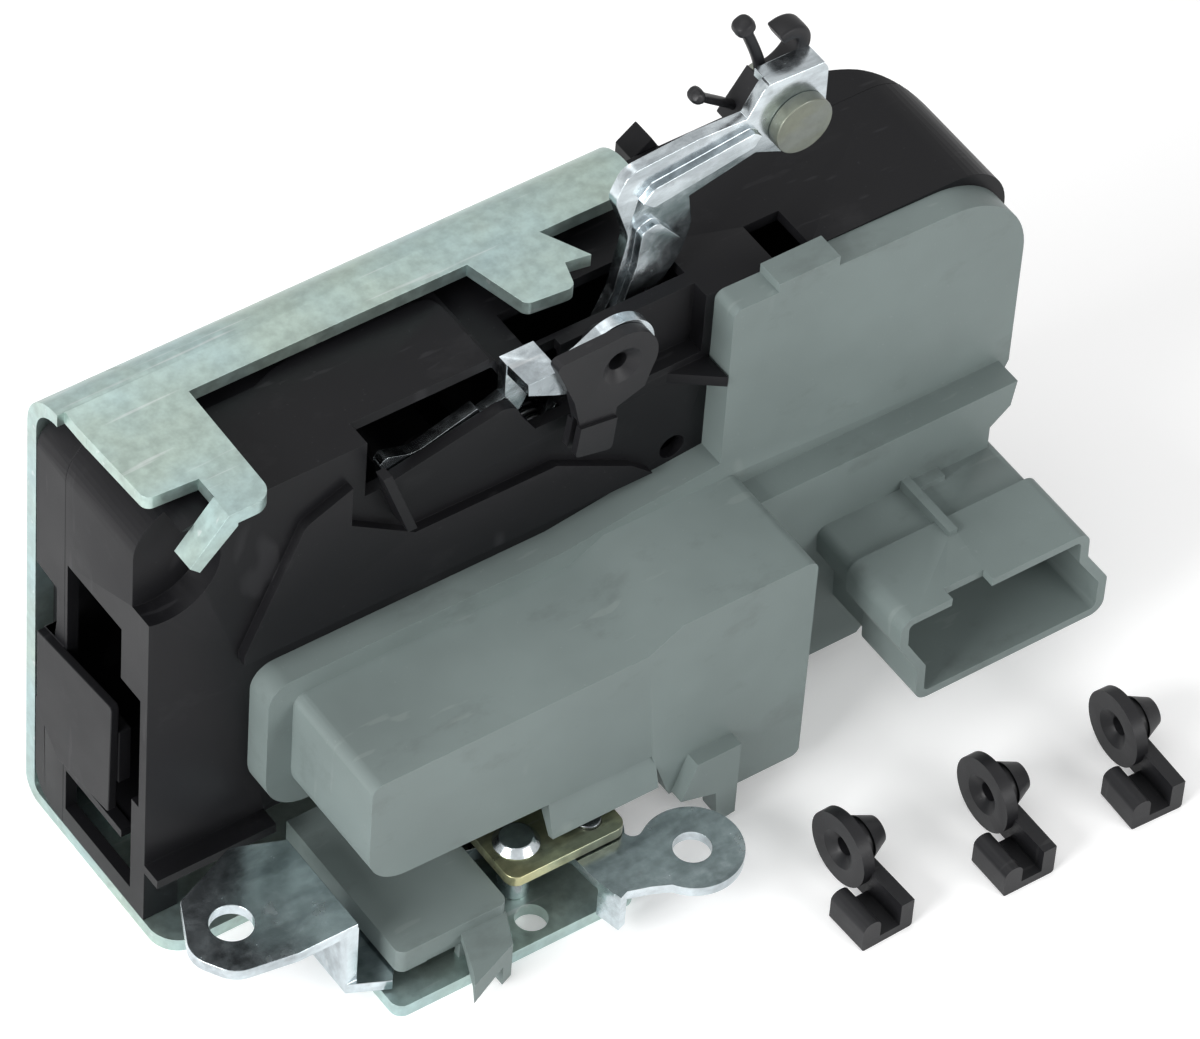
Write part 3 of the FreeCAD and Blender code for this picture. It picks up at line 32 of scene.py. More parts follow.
bl_info = {
    "name": "Car door lock",
    "version": (1, 0, 0),
    "blender": (4, 5, 0),
    "location": "View3D > Sidebar > Door lock",
    "description": "Dresses the door lock's pieces with their finishes and sets the stage round them",
    "category": "Object",
}

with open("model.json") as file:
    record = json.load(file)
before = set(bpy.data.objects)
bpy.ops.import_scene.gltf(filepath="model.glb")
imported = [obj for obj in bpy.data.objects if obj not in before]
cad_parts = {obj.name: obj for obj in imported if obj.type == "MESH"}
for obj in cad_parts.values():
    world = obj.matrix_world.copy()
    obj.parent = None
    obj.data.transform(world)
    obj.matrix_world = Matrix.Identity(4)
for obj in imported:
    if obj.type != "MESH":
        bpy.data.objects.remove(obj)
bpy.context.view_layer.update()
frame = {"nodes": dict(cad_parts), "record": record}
BODY_OF = {node: body for body, members in frame["record"]["behaviour"]["bodies"].items() for node in members}
SLOT_OF = {part["node"]: part["material_slot"] for part in frame["record"]["subparts"]}

MM = 0.001
# The frame's origin in the millimetres that the lock's own drawing counts from
FRAME_ORIGIN = np.array([12.0, 22.0, 0.0])
# Corners of a CAD node or a new piece that are nearer than this are one corner
NODE_MERGE = 0.004 * MM
PIECE_MERGE = 0.002 * MM
# Faces that meet at less than FLAT_ANGLE are one face, and edges past SHARP_ANGLE stay sharp
FLAT_ANGLE = math.radians(0.6)
SHARP_ANGLE = math.radians(32)
NEW_EDGE_ANGLE = math.radians(40)
BUMP_DEPTH = 0.05 * MM
# Edges left as the CAD has them, and the share of a small edge's radius that the drive's pieces have
SQUARE_EDGES = 0
FINE_SHARE = 0.5

SENSOR_MM = 36
NEAREST, FARTHEST = 0.05, 30
LOCK_MIDDLE = Vector((0.05, -0.01, 0.04))
FLOOR_REACH = 6.0
FLOOR_GREY = 0.94
# What the floor gives off towards the camera, so that it shows as white as the photograph's
FLOOR_LIFT = 0.2


class LockFinish(bpy.types.PropertyGroup):
    """Colours as linear light, and how rough each surface is."""

    plate_colour: FloatVectorProperty(
        name="Plate", description="Passivated zinc of the latch plate", subtype="COLOR", size=3,
        min=0, max=1, default=(0.405, 0.535, 0.535))
    plate_bloom: FloatVectorProperty(
        name="Plate bloom", description="Yellow tinge where the passivation is thicker", subtype="COLOR",
        size=3, min=0, max=1, default=(0.44, 0.52, 0.43))
    lever_colour: FloatVectorProperty(
        name="Levers", description="Bright zinc of the levers", subtype="COLOR", size=3, min=0, max=1,
        default=(0.60, 0.67, 0.70))
    yellow_colour: FloatVectorProperty(
        name="Yellow zinc", description="Yellow passivated zinc of the backing plate", subtype="COLOR",
        size=3, min=0, max=1, default=(0.56, 0.49, 0.24))
    steel_colour: FloatVectorProperty(
        name="Steel", description="Ground steel of fork, pawl and pins", subtype="COLOR", size=3,
        min=0, max=1, default=(0.40, 0.41, 0.42))
    case_colour: FloatVectorProperty(
        name="Case", description="Black moulded case", subtype="COLOR", size=3, min=0, max=1,
        default=(0.0078, 0.0078, 0.009))
    clip_colour: FloatVectorProperty(
        name="Clips", description="Black nylon of the rod clips", subtype="COLOR", size=3, min=0, max=1,
        default=(0.0105, 0.0105, 0.012))
    cover_colour: FloatVectorProperty(
        name="Cover", description="Grey moulded cover", subtype="COLOR", size=3, min=0, max=1,
        default=(0.163, 0.200, 0.194))
    case_roughness: FloatProperty(
        name="Case roughness", description="Roughness of the black shells", subtype="FACTOR", min=0, max=1,
        default=0.42)
    cover_roughness: FloatProperty(
        name="Cover roughness", description="Roughness of the grey cover", subtype="FACTOR", min=0, max=1,
        default=0.5)


class LockEdges(bpy.types.PropertyGroup):
    """How far each kind of piece has its edges rounded."""

    moulded: FloatProperty(name="Moulded", description="Edge radius of the shells and covers",
                           subtype="DISTANCE", min=0, default=0.45 * MM)
    pressed: FloatProperty(name="Pressed", description="Edge radius of sheet pieces", subtype="DISTANCE",
                           min=0, default=0.32 * MM)
    lever: FloatProperty(name="Lever", description="Edge radius of the levers", subtype="DISTANCE", min=0,
                         default=0.6 * MM)
    small: FloatProperty(name="Small", description="Edge radius of clips and pins", subtype="DISTANCE",
                         min=0, default=0.22 * MM)
    steps: IntProperty(name="Steps", description="Faces across a rounded edge", min=1, max=4, default=3)


class LockStage(bpy.types.PropertyGroup):
    """Where the camera stands and how strong the light is."""

    eye: FloatVectorProperty(name="Eye", description="Camera's place", subtype="TRANSLATION", size=3,
                             default=(-0.4436, -0.6791, 0.9566))
    right: FloatVectorProperty(name="Right", description="The picture's right in the frame", size=3,
                               default=(0.8226, -0.5661, 0.0536))
    down: FloatVectorProperty(name="Down", description="The picture's down in the frame", size=3,
                              default=(-0.3894, -0.6295, -0.6723))
    focal_px: FloatProperty(name="Focal length", description="In pixels of the picture", default=8273.18)
    picture_px: FloatVectorProperty(name="Picture", description="Width and height in pixels", size=2,
                                    default=(1200, 1039))
    sky: FloatProperty(name="Sky", description="Strength of the even light", min=0, default=0.5)
    key: FloatProperty(name="Key", description="Power of the overhead lamp", subtype="POWER",
                       min=0, default=2.4)
    side: FloatProperty(name="Side", description="Power of the lamp at the left", subtype="POWER",
                        min=0, default=13.0)
    front: FloatProperty(name="Front", description="Power of the low front lamp", subtype="POWER",
                         min=0, default=5.5)


def settings():
    """The finishes, the edge radii and the stage, as the panel shows them."""
    return bpy.context.scene.lock_finish, bpy.context.scene.lock_edges, bpy.context.scene.lock_stage


# Shader groups, each made once

# Where a colour mix has its factor, its two colours and its result
MIX_FACTOR, MIX_FIRST, MIX_SECOND, MIX_RESULT = 0, 6, 7, 2
DULL_ZINC = (0.2, 0.21, 0.2)
SCRATCHED_ZINC = (0.72, 0.74, 0.74)


def new_group(name, inputs, outputs):
    """An empty shader group: inputs are (name, kind, default), outputs (name, kind)."""
    tree = bpy.data.node_groups.new(name, "ShaderNodeTree")
    for label, kind, default in inputs:
        socket = tree.interface.new_socket(label, in_out="INPUT", socket_type=kind)
        if default is not None:
            socket.default_value = default
    for label, kind in outputs:
        tree.interface.new_socket(label, in_out="OUTPUT", socket_type=kind)
    way_in = tree.nodes.new("NodeGroupInput")
    way_out = tree.nodes.new("NodeGroupOutput")
    return tree, way_in, way_out


def noise(tree, where, scale, detail=2.0, rough=0.5, stretch=None):
    """Noise on the object's own coordinates, with scale lumps to the metre, stretched along each axis."""
    if stretch:
        mapping = tree.nodes.new("ShaderNodeMapping")
        mapping.inputs["Scale"].default_value = stretch
        tree.links.new(where, mapping.inputs["Vector"])
        where = mapping.outputs["Vector"]
    item = tree.nodes.new("ShaderNodeTexNoise")
    item.inputs["Scale"].default_value = scale
    item.inputs["Detail"].default_value = detail
    item.inputs["Roughness"].default_value = rough
    tree.links.new(where, item.inputs["Vector"])
    return item.outputs["Fac"]


def spread(tree, value, low, high, to_low=0.0, to_high=1.0):
    """Stretches a value's range from low and high to two others, and holds it inside them."""
    item = tree.nodes.new("ShaderNodeMapRange")
    for label, number in (("From Min", low), ("From Max", high), ("To Min", to_low), ("To Max", to_high)):
        item.inputs[label].default_value = number
    tree.links.new(value, item.inputs["Value"])
    return item.outputs["Result"]


def joined(tree, operation, first, second):
    """Two values, or a value and a number, joined by one operation."""
    item = tree.nodes.new("ShaderNodeMath")
    item.operation = operation
    for index, value in enumerate((first, second)):
        if isinstance(value, (int, float)):
            item.inputs[index].default_value = value
        else:
            tree.links.new(value, item.inputs[index])
    return item.outputs[0]


def blended(tree, amount, first, second):
    """Colour first turning into colour second by an amount from 0 to 1."""
    item = tree.nodes.new("ShaderNodeMix")
    item.data_type = "RGBA"
    tree.links.new(amount, item.inputs[MIX_FACTOR])
    for index, value in ((MIX_FIRST, first), (MIX_SECOND, second)):
        if isinstance(value, bpy.types.NodeSocket):
            tree.links.new(value, item.inputs[index])
        else:
            item.inputs[index].default_value = (*value, 1)
    return item.outputs[MIX_RESULT]


def moulded_group():
    """Moulded plastic: drifting tint, rubbed smears, thin scratches and dust, and spark texture as height."""
    tree, way_in, way_out = new_group(
        "moulded plastic",
        [("Colour", "NodeSocketColor", (0.2, 0.2, 0.2, 1)),
         ("Rub colour", "NodeSocketColor", (0.1, 0.1, 0.1, 1)),
         ("Dust", "NodeSocketColor", (0.25, 0.25, 0.25, 1)), ("Rub", "NodeSocketFloat", 0.3),
         ("Roughness", "NodeSocketFloat", 0.45), ("Grain", "NodeSocketFloat", 1.0)],
        [("Colour", "NodeSocketColor"), ("Roughness", "NodeSocketFloat"), ("Height", "NodeSocketFloat")])
    where = tree.nodes.new("ShaderNodeTexCoord").outputs["Object"]
    rub, dust = way_in.outputs["Rub"], way_in.outputs["Dust"]
    drift = noise(tree, where, scale=45, detail=3, rough=0.6)
    spark = noise(tree, where, scale=2600, detail=2, rough=0.6)
    smear = noise(tree, where, scale=60, detail=5, rough=0.68, stretch=(1.0, 1.7, 1.5))
    mask = joined(tree, "MULTIPLY", spread(tree, smear, low=0.58, high=0.72), rub)
    lit = tree.nodes.new("ShaderNodeHueSaturation")
    tree.links.new(way_in.outputs["Colour"], lit.inputs["Color"])
    tree.links.new(spread(tree, drift, low=0.35, high=0.65, to_low=0.94, to_high=1.06), lit.inputs["Value"])
    rubbed = blended(tree, mask, lit.outputs["Color"], way_in.outputs["Rub colour"])
    lines = noise(tree, where, scale=520, detail=2, rough=0.45, stretch=(0.22, 1.0, 0.1))
    thin = spread(tree, lines, low=0.68, high=0.73, to_high=0.6)
    speck = spread(tree, noise(tree, where, scale=1500, detail=1), low=0.75, high=0.79, to_high=0.6)
    scratched = blended(tree, joined(tree, "MULTIPLY", thin, rub), rubbed, dust)
    dusty = blended(tree, joined(tree, "MULTIPLY", speck, rub), scratched, dust)
    tree.links.new(dusty, way_out.inputs["Colour"])
    uneven = spread(tree, drift, low=0.3, high=0.7, to_low=-0.05, to_high=0.06)
    rough = joined(tree, "ADD", way_in.outputs["Roughness"], uneven)
    polished = joined(tree, "SUBTRACT", rough, joined(tree, "MULTIPLY", mask, 0.1))
    tree.links.new(polished, way_out.inputs["Roughness"])
    tree.links.new(joined(tree, "MULTIPLY", spark, way_in.outputs["Grain"]), way_out.inputs["Height"])


def plated_group():
    """Zinc plating on rolled sheet: clouds of a second tint, streaks of a darker colour that paint dark
    reflections, scratches and small dull spots.

    The height is a slow wave of the sheet, roll lines and fine crystal grain."""
    tree, way_in, way_out = new_group(
        "zinc plating",
        [("Colour", "NodeSocketColor", (0.5, 0.5, 0.5, 1)), ("Bloom", "NodeSocketColor", (0.5, 0.5, 0.4, 1)),
         ("Bloom amount", "NodeSocketFloat", 0.5), ("Shade", "NodeSocketColor", (0.2, 0.2, 0.2, 1)),
         ("Shade amount", "NodeSocketFloat", 0.3), ("Roughness", "NodeSocketFloat", 0.35),
         ("Ripple", "NodeSocketFloat", 1.0), ("Wave", "NodeSocketFloat", 1.0)],
        [("Colour", "NodeSocketColor"), ("Roughness", "NodeSocketFloat"), ("Height", "NodeSocketFloat")])
    where = tree.nodes.new("ShaderNodeTexCoord").outputs["Object"]
    cloud = noise(tree, where, scale=26, detail=4, rough=0.6)
    fine = noise(tree, where, scale=480, detail=3, rough=0.65)
    roll = noise(tree, where, scale=300, detail=2, stretch=(0.12, 3.0, 3.0))
    spots = noise(tree, where, scale=210, detail=2)
    # Painted reflection: a darker colour laid on the metal in streaks stands in for dark reflections
    reflection_noise = noise(tree, where, scale=95, detail=4, rough=0.62, stretch=(0.55, 1.5, 1.2))
    lines = noise(tree, where, scale=900, detail=2, rough=0.4, stretch=(0.05, 1.0, 0.6))
    clouds, reflection_mask = spread(tree, cloud, low=0.4, high=0.6), spread(tree, reflection_noise, low=0.45, high=0.58)
    amount = joined(tree, "MULTIPLY", clouds, way_in.outputs["Bloom amount"])
    painted_reflection = joined(tree, "MULTIPLY", reflection_mask, way_in.outputs["Shade amount"])
    bloomed = blended(tree, amount, way_in.outputs["Colour"], way_in.outputs["Bloom"])
    with_painted_reflection = blended(tree, painted_reflection, bloomed, way_in.outputs["Shade"])
    lit = tree.nodes.new("ShaderNodeHueSaturation")
    tree.links.new(with_painted_reflection, lit.inputs["Color"])
    tree.links.new(spread(tree, fine, low=0.35, high=0.65, to_low=0.9, to_high=1.1), lit.inputs["Value"])
    dull = spread(tree, spots, low=0.64, high=0.74, to_high=0.22)
    scratch = spread(tree, lines, low=0.68, high=0.74, to_high=0.4)
    marked = blended(tree, dull, lit.outputs["Color"], DULL_ZINC)
    tree.links.new(blended(tree, scratch, marked, SCRATCHED_ZINC), way_out.inputs["Colour"])
    uneven = spread(tree, fine, low=0.25, high=0.75, to_low=-0.06, to_high=0.08)
    rough = joined(tree, "ADD", way_in.outputs["Roughness"], uneven)
    blunt = joined(tree, "ADD", rough, joined(tree, "MULTIPLY", dull, 0.5))
    tree.links.new(blunt, way_out.inputs["Roughness"])
    grain = joined(tree, "ADD", joined(tree, "MULTIPLY", roll, 0.4), joined(tree, "MULTIPLY", fine, 0.6))
    small = joined(tree, "MULTIPLY", grain, way_in.outputs["Ripple"])
    slow = joined(tree, "MULTIPLY", noise(tree, where, scale=70, detail=2), way_in.outputs["Wave"])
    tree.links.new(joined(tree, "ADD", small, slow), way_out.inputs["Height"])


def finish_material(name, group, values, bump, **surface):
    """A Principled material fed by one group; surface sets the shader's own plain sockets."""
    material = bpy.data.materials.new(name + "_finish")
    material.use_nodes = True
    tree = material.node_tree
    shader = tree.nodes["Principled BSDF"]
    for key, value in surface.items():
        shader.inputs[key.replace("_", " ")].default_value = value
    effect = tree.nodes.new("ShaderNodeGroup")
    effect.node_tree = bpy.data.node_groups[group]
    for key, value in values.items():
        effect.inputs[key].default_value = (*value, 1) if isinstance(value, (tuple, list)) else value
    tree.links.new(effect.outputs["Colour"], shader.inputs["Base Color"])
    tree.links.new(effect.outputs["Roughness"], shader.inputs["Roughness"])
    raised = tree.nodes.new("ShaderNodeBump")
    raised.inputs["Strength"].default_value = bump
    raised.inputs["Distance"].default_value = BUMP_DEPTH
    tree.links.new(effect.outputs["Height"], raised.inputs["Height"])
    tree.links.new(raised.outputs["Normal"], shader.inputs["Normal"])


def make_materials():
    """Every finish: its name, its colours, how much of each, its roughness and its height."""
    finish, _, _ = settings()
    moulded_group()
    plated_group()
    plate, bloom, lever = tuple(finish.plate_colour), tuple(finish.plate_bloom), tuple(finish.lever_colour)
    yellow, steel = tuple(finish.yellow_colour), tuple(finish.steel_colour)
    case, clip, cover = tuple(finish.case_colour), tuple(finish.clip_colour), tuple(finish.cover_colour)
    # The dark and grey colours here are painted reflections, streaked into the metals' colour
    grey_reflection, dark_reflection = (0.2, 0.22, 0.22), (0.055, 0.07, 0.085)
    bright_lever, rivet, rivet_bloom = (0.68, 0.73, 0.76), (0.155, 0.175, 0.155), (0.21, 0.22, 0.17)
    olive, dark_steel, pale_steel = (0.42, 0.47, 0.32), (0.24, 0.25, 0.26), (0.45, 0.45, 0.45)
    tin, dull_tin = (0.62, 0.6, 0.54), (0.5, 0.5, 0.48)
    brass, dull_brass = (0.6, 0.43, 0.16), (0.5, 0.35, 0.14)
    # Each metal's fifth and sixth values are its painted dark reflection colour and how much of it is
    # streaked in
    for name, colour, tint, amount, painted_reflection, painted_reflection_amount, rough, ripple, wave, bump, metal in (
            ("zinc_plate", plate, bloom, 0.6, grey_reflection, 0.08, 0.36, 0.3, 1.5, 0.3, 0.85),
            ("zinc_lever", lever, bright_lever, 0.6, dark_reflection, 0.34, 0.2, 0.6, 6.0, 0.8, 1.0),
            ("rivet_zinc", rivet, rivet_bloom, 0.7, grey_reflection, 0.5, 0.42, 1.4, 3.0, 0.6, 0.75),
            ("yellow_zinc", yellow, olive, 0.8, dark_reflection, 0.5, 0.32, 1.0, 3.0, 0.5, 0.9),
            ("hard_steel", steel, dark_steel, 0.6, dark_reflection, 0.6, 0.3, 1.0, 4.0, 0.5, 1.0),
            ("motor_steel", steel, pale_steel, 0.6, grey_reflection, 0.3, 0.3, 0.6, 1.0, 0.3, 1.0),
            ("blade_tin", tin, dull_tin, 0.6, grey_reflection, 0.2, 0.25, 0.5, 1.0, 0.3, 1.0),
            ("worm_brass", brass, dull_brass, 0.6, grey_reflection, 0.2, 0.28, 0.6, 1.0, 0.3, 1.0)):
        values = {"Colour": colour, "Bloom": tint, "Bloom amount": amount, "Shade": painted_reflection,
                  "Shade amount": painted_reflection_amount, "Roughness": rough, "Ripple": ripple, "Wave": wave}
        finish_material(name, "zinc plating", values, bump, Metallic=metal)
    case_rough, cover_rough = finish.case_roughness, finish.cover_roughness
    case_rub, case_dust = (0.03, 0.03, 0.032), (0.07, 0.07, 0.075)
    clip_rub, clip_dust = (0.035, 0.035, 0.037), (0.08, 0.08, 0.08)
    cover_rub, cover_dust = (0.08, 0.092, 0.09), (0.3, 0.34, 0.32)
    rubber, rubber_rub, rubber_dust = (0.02, 0.02, 0.02), (0.04, 0.04, 0.04), (0.1, 0.1, 0.1)
    ivory, ivory_rub, ivory_dust = (0.6, 0.59, 0.54), (0.4, 0.39, 0.35), (0.7, 0.7, 0.66)
    board, board_rub, board_dust = (0.02, 0.1, 0.04), (0.03, 0.14, 0.06), (0.3, 0.34, 0.3)
    for name, colour, rub, rub_amount, dust, rough, grain, bump, shine in (
            ("black_case", case, case_rub, 0.25, case_dust, case_rough, 0.6, 0.25, 0.16),
            ("black_clip", clip, clip_rub, 0.3, clip_dust, 0.42, 0.8, 0.3, 0.3),
            ("grey_cover", cover, cover_rub, 0.3, cover_dust, cover_rough, 0.7, 0.3, 0.3),
            ("buffer_rubber", rubber, rubber_rub, 0.3, rubber_dust, 0.7, 1.0, 0.4, 0.3),
            ("gear_plastic", ivory, ivory_rub, 0.2, ivory_dust, 0.42, 0.4, 0.2, 0.4),
            ("board_green", board, board_rub, 0.4, board_dust, 0.35, 0.3, 0.2, 0.5)):
        values = {"Colour": colour, "Rub colour": rub, "Rub": rub_amount, "Dust": dust, "Roughness": rough,
                  "Grain": grain}
        finish_material(name, "moulded plastic", values, bump, Specular_IOR_Level=shine)


# Making pieces

def round_edges(piece, width, steps, angle, miter="MITER_SHARP"):
    """Rounds the edges of a piece whose faces meet at more than an angle."""
    bevel = piece.modifiers.new("rounded edges", "BEVEL")
    bevel.width = width
    bevel.segments = steps
    bevel.limit_method = "ANGLE"
    bevel.angle_limit = angle
    bevel.miter_outer = miter
    bevel.harden_normals = True


def smoothed(mesh, work):
    """Puts the worked faces back into a mesh, shaded smooth with sharp edges kept."""
    for face in work.faces:
        face.smooth = True
    work.to_mesh(mesh)
    work.free()
    mesh.set_sharp_from_angle(angle=SHARP_ANGLE)


def softened(node, width, steps):
    """A copy of a pressed or moulded node with welded faces, whose edges are then rounded by a bevel."""
    source = frame["nodes"][node]
    mesh = source.data.copy()
    mesh.name = node + "_surface"
    mesh.transform(source.matrix_world)
    work = bmesh.new()
    work.from_mesh(mesh)
    bmesh.ops.remove_doubles(work, verts=work.verts, dist=NODE_MERGE)
    bmesh.ops.dissolve_limit(work, angle_limit=FLAT_ANGLE, verts=work.verts, edges=work.edges)
    mesh.materials.clear()
    smoothed(mesh, work)
    piece = bpy.data.objects.new(node + "_dressed", mesh)
    bpy.context.scene.collection.objects.link(piece)
    if width > 0:
        round_edges(piece, width, steps, SHARP_ANGLE, "MITER_ARC")
    return piece


def finished(piece, node, material):
    """Gives a piece its finish and puts it in its node's place, on the node's body."""
    piece.data.materials.append(bpy.data.materials[material + "_finish"])
    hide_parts(node)
    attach(piece, BODY_OF[node])


def dress(nodes, width, steps, material=None):
    """Softened copies of some nodes, in the finish of each one's slot unless another is named."""
    for node in nodes:
        finished(softened(node, width, steps), node, material or SLOT_OF[node])


def bezier(y, *corners, count=28):
    """Points of a Bezier curve in the XZ plane at y, from its corners.

    A point is the sum over i of C(n, i) (1 - t)^(n - i) t^i times corner i, for t from 0 to 1."""
    corners = np.array([(x, y, z) for x, z in corners])
    order = len(corners) - 1
    t = np.linspace(0, 1, count)[:, None]
    index = np.arange(order + 1)
    weight = np.array([math.comb(order, i) for i in index]) * (1 - t) ** (order - index) * t ** index
    return weight @ corners


def swept(path, half_thick, half_wide, squareness=2.6, sides=20):
    """A closed bar carried along a path that lies in one XZ plane.

    A point is path(s) + a(s) C(u) N(s) + b(s) S(u) Y. N is the path's normal in its plane, a and b are the
    bar's half thickness and half width, and C and S are cos u and sin u to the power 2 / squareness, with
    their signs kept. A fan of triangles closes each end."""
    step = np.gradient(path, axis=0)
    step /= np.linalg.norm(step, axis=1)[:, None]
    normal = np.stack((-step[:, 2], np.zeros(len(path)), step[:, 0]), axis=1)
    turn = np.linspace(0, 2 * math.pi, sides, endpoint=False)
    across = np.sign(np.cos(turn)) * np.abs(np.cos(turn)) ** (2 / squareness)
    along_y = np.sign(np.sin(turn)) * np.abs(np.sin(turn)) ** (2 / squareness)
    rings = path[:, None, :] + half_thick[:, None, None] * across[None, :, None] * normal[:, None, :]
    rings[:, :, 1] += half_wide[:, None] * along_y[None, :]
    points = np.vstack((rings.reshape(-1, 3), path[:1], path[-1:]))
    ring, side = np.meshgrid(np.arange(len(path) - 1), np.arange(sides), indexing="ij")
    first, second = ring * sides + side, ring * sides + (side + 1) % sides
    walls = np.stack((first, second, second + sides, first + sides), axis=-1).reshape(-1, 4)
    start, end = len(path) * sides, len(path) * sides + 1
    edge = np.arange(sides)
    low = np.stack((np.full(sides, start), (edge + 1) % sides, edge), axis=-1)
    high = np.stack((np.full(sides, end), edge + start - sides, (edge + 1) % sides + start - sides), axis=-1)
    return points, walls.tolist() + low.tolist() + high.tolist()


def knobbed(path, stem, knob):
    """Half thickness along a path: a plain stem, and a ball of radius knob at its far end.

    At distance e from the tip the ball's half thickness is sqrt(knob^2 - (knob - e)^2)."""
    lengths = np.linalg.norm(np.diff(path, axis=0), axis=1)
    left = np.append(np.cumsum(lengths[::-1])[::-1], 0.0)
    ball = np.sqrt(np.maximum(knob ** 2 - (knob - left) ** 2, 0))
    return np.where(left < knob, ball, np.maximum(stem, ball))


def slab(outline, front, back):
    """An outline in XZ carried straight from y = front to y = back and closed with two flat ends."""
    outline = np.array(outline, dtype=float)
    count = len(outline)
    near = np.insert(outline, 1, front, axis=1)
    far = np.insert(outline, 1, back, axis=1)
    index = np.arange(count)
    after = (index + 1) % count
    walls = np.stack((index, after, after + count, index + count), axis=-1).tolist()
    return np.vstack((near, far)), walls + [index[::-1].tolist(), (index + count).tolist()]


def collar(x, z, inner, outer, front, back, sides=48):
    """A turned ring round the line through x, z along Y.

    The corners of its section, at radius r and height h, go to (x + r cos u, h, z + r sin u)."""
    turn = np.linspace(0, 2 * math.pi, sides, endpoint=False)
    radius = np.array([inner, outer, outer, inner])
    height = np.array([front, front, back, back])
    points = np.stack((x + radius[None, :] * np.cos(turn)[:, None], np.broadcast_to(height, (sides, 4)),
                       z + radius[None, :] * np.sin(turn)[:, None]), axis=-1).reshape(-1, 3)
    ring, side = np.meshgrid(np.arange(sides), np.arange(4), indexing="ij")
    after, beside = (ring + 1) % sides, (side + 1) % 4
    return points, np.stack((ring * 4 + side, ring * 4 + beside, after * 4 + beside, after * 4 + side),
                            axis=-1).reshape(-1, 4).tolist()


def new_piece(name, shapes, width, steps):
    """One object from several closed shapes, given in the drawing's millimetres, with rounded edges."""
    points, faces, start = [], [], 0
    for shape_points, shape_faces in shapes:
        points.append(shape_points)
        faces += [[start + corner for corner in face] for face in shape_faces]
        start += len(shape_points)
    mesh = bpy.data.meshes.new(name)
    mesh.from_pydata(((np.vstack(points) - FRAME_ORIGIN) * MM).tolist(), [], faces)
    work = bmesh.new()
    work.from_mesh(mesh)
    bmesh.ops.remove_doubles(work, verts=work.verts, dist=PIECE_MERGE)
    bmesh.ops.recalc_face_normals(work, faces=work.faces)
    smoothed(mesh, work)
    piece = bpy.data.objects.new(name, mesh)
    bpy.context.scene.collection.objects.link(piece)
    round_edges(piece, width, steps, NEW_EDGE_ANGLE)
    return piece


# The rod holder in the drawing's millimetres: its hub, the block beside it, two sprung fingers and the hook
HUB = {"x": 116.6, "z": 103.8, "inner": 2.62, "outer": 4.4, "front": 10.4, "back": 15.4}
BLOCK_OUTLINE = ((107.6, 103.4), (110.4, 99.4), (113.6, 99.9), (112.9, 101.8), (112.4, 103.8), (112.9, 105.9),
                 (114.2, 108.2), (112.6, 110.4))
BLOCK_FRONT, BLOCK_BACK = 10.4, 15.7
FINGER_Y, FINGER = 14.1, ((114.2, 107.8), (114.0, 111.8), (112.0, 116.0), (109.4, 122.3))
FINGER_THICK, FINGER_WIDE, FINGER_KNOB = 0.85, 1.05, 1.7
LOW_FINGER_Y, LOW_FINGER = 14.0, ((110.6, 103.8), (107.4, 107.2), (105.0, 108.2), (101.4, 111.6))
LOW_FINGER_THICK, LOW_FINGER_WIDE, LOW_KNOB_THICK, LOW_KNOB_WIDE = 0.6, 1.0, 1.2, 1.5
HOOK_Y, HOOK = 14.1, ((114.4, 108.6), (120.6, 108.4), (123.4, 116.8), (118.4, 117.2), (116.2, 116.0))
HOOK_THICK, HOOK_WIDE, HOOK_SQUARENESS = 1.2, 1.9, 5


class LOCK_OT_rod_holder(bpy.types.Operator):
    """The moulded rod holder: hub, block, hook and two thin sprung fingers with knobs"""
    bl_idname = "lock.rod_holder"
    bl_label = "Rod holder"

    def execute(self, context):
        _, edges, _ = settings()
        finger = bezier(FINGER_Y, *FINGER)
        low_finger = bezier(LOW_FINGER_Y, *LOW_FINGER)
        hook = bezier(HOOK_Y, *HOOK)
        even = np.ones(len(hook))
        shapes = [
            collar(**HUB),
            slab(BLOCK_OUTLINE, BLOCK_FRONT, BLOCK_BACK),
            swept(finger, knobbed(finger, FINGER_THICK, FINGER_KNOB),
                  knobbed(finger, FINGER_WIDE, FINGER_KNOB)),
            swept(low_finger, knobbed(low_finger, LOW_FINGER_THICK, LOW_KNOB_THICK),
                  knobbed(low_finger, LOW_FINGER_WIDE, LOW_KNOB_WIDE)),
            swept(hook, even * HOOK_THICK, even * HOOK_WIDE, squareness=HOOK_SQUARENESS)]
        piece = new_piece("rod_holder_dressed", shapes, edges.small, edges.steps)
        finished(piece, "rod_holder", "black_clip")
        return {"FINISHED"}


class LOCK_OT_pressings(bpy.types.Operator):
    """Latch plate, backing plate and the rivets that hold them"""
    bl_idname = "lock.pressings"
    bl_label = "Pressed plates"

    def execute(self, context):
        _, edges, _ = settings()
        dress(("latch_plate", "backing_plate"), edges.pressed, edges.steps)
        dress(("plate_rivets",), edges.small, edges.steps)
        return {"FINISHED"}


class LOCK_OT_levers(bpy.types.Operator):
    """The bright zinc levers and the rivet of the rod holder"""
    bl_idname = "lock.levers"
    bl_label = "Levers"

    def execute(self, context):
        _, edges, _ = settings()
        dress(("inside_lever", "key_lever", "outside_lever", "lock_lever"), edges.lever, edges.steps)
        dress(("holder_rivet",), edges.small, edges.steps, "rivet_zinc")
        return {"FINISHED"}


class LOCK_OT_shells(bpy.types.Operator):
    """The two black shells"""
    bl_idname = "lock.shells"
    bl_label = "Black shells"

    def execute(self, context):
        _, edges, _ = settings()
        dress(("front_housing", "rear_housing"), edges.moulded, edges.steps)
        return {"FINISHED"}


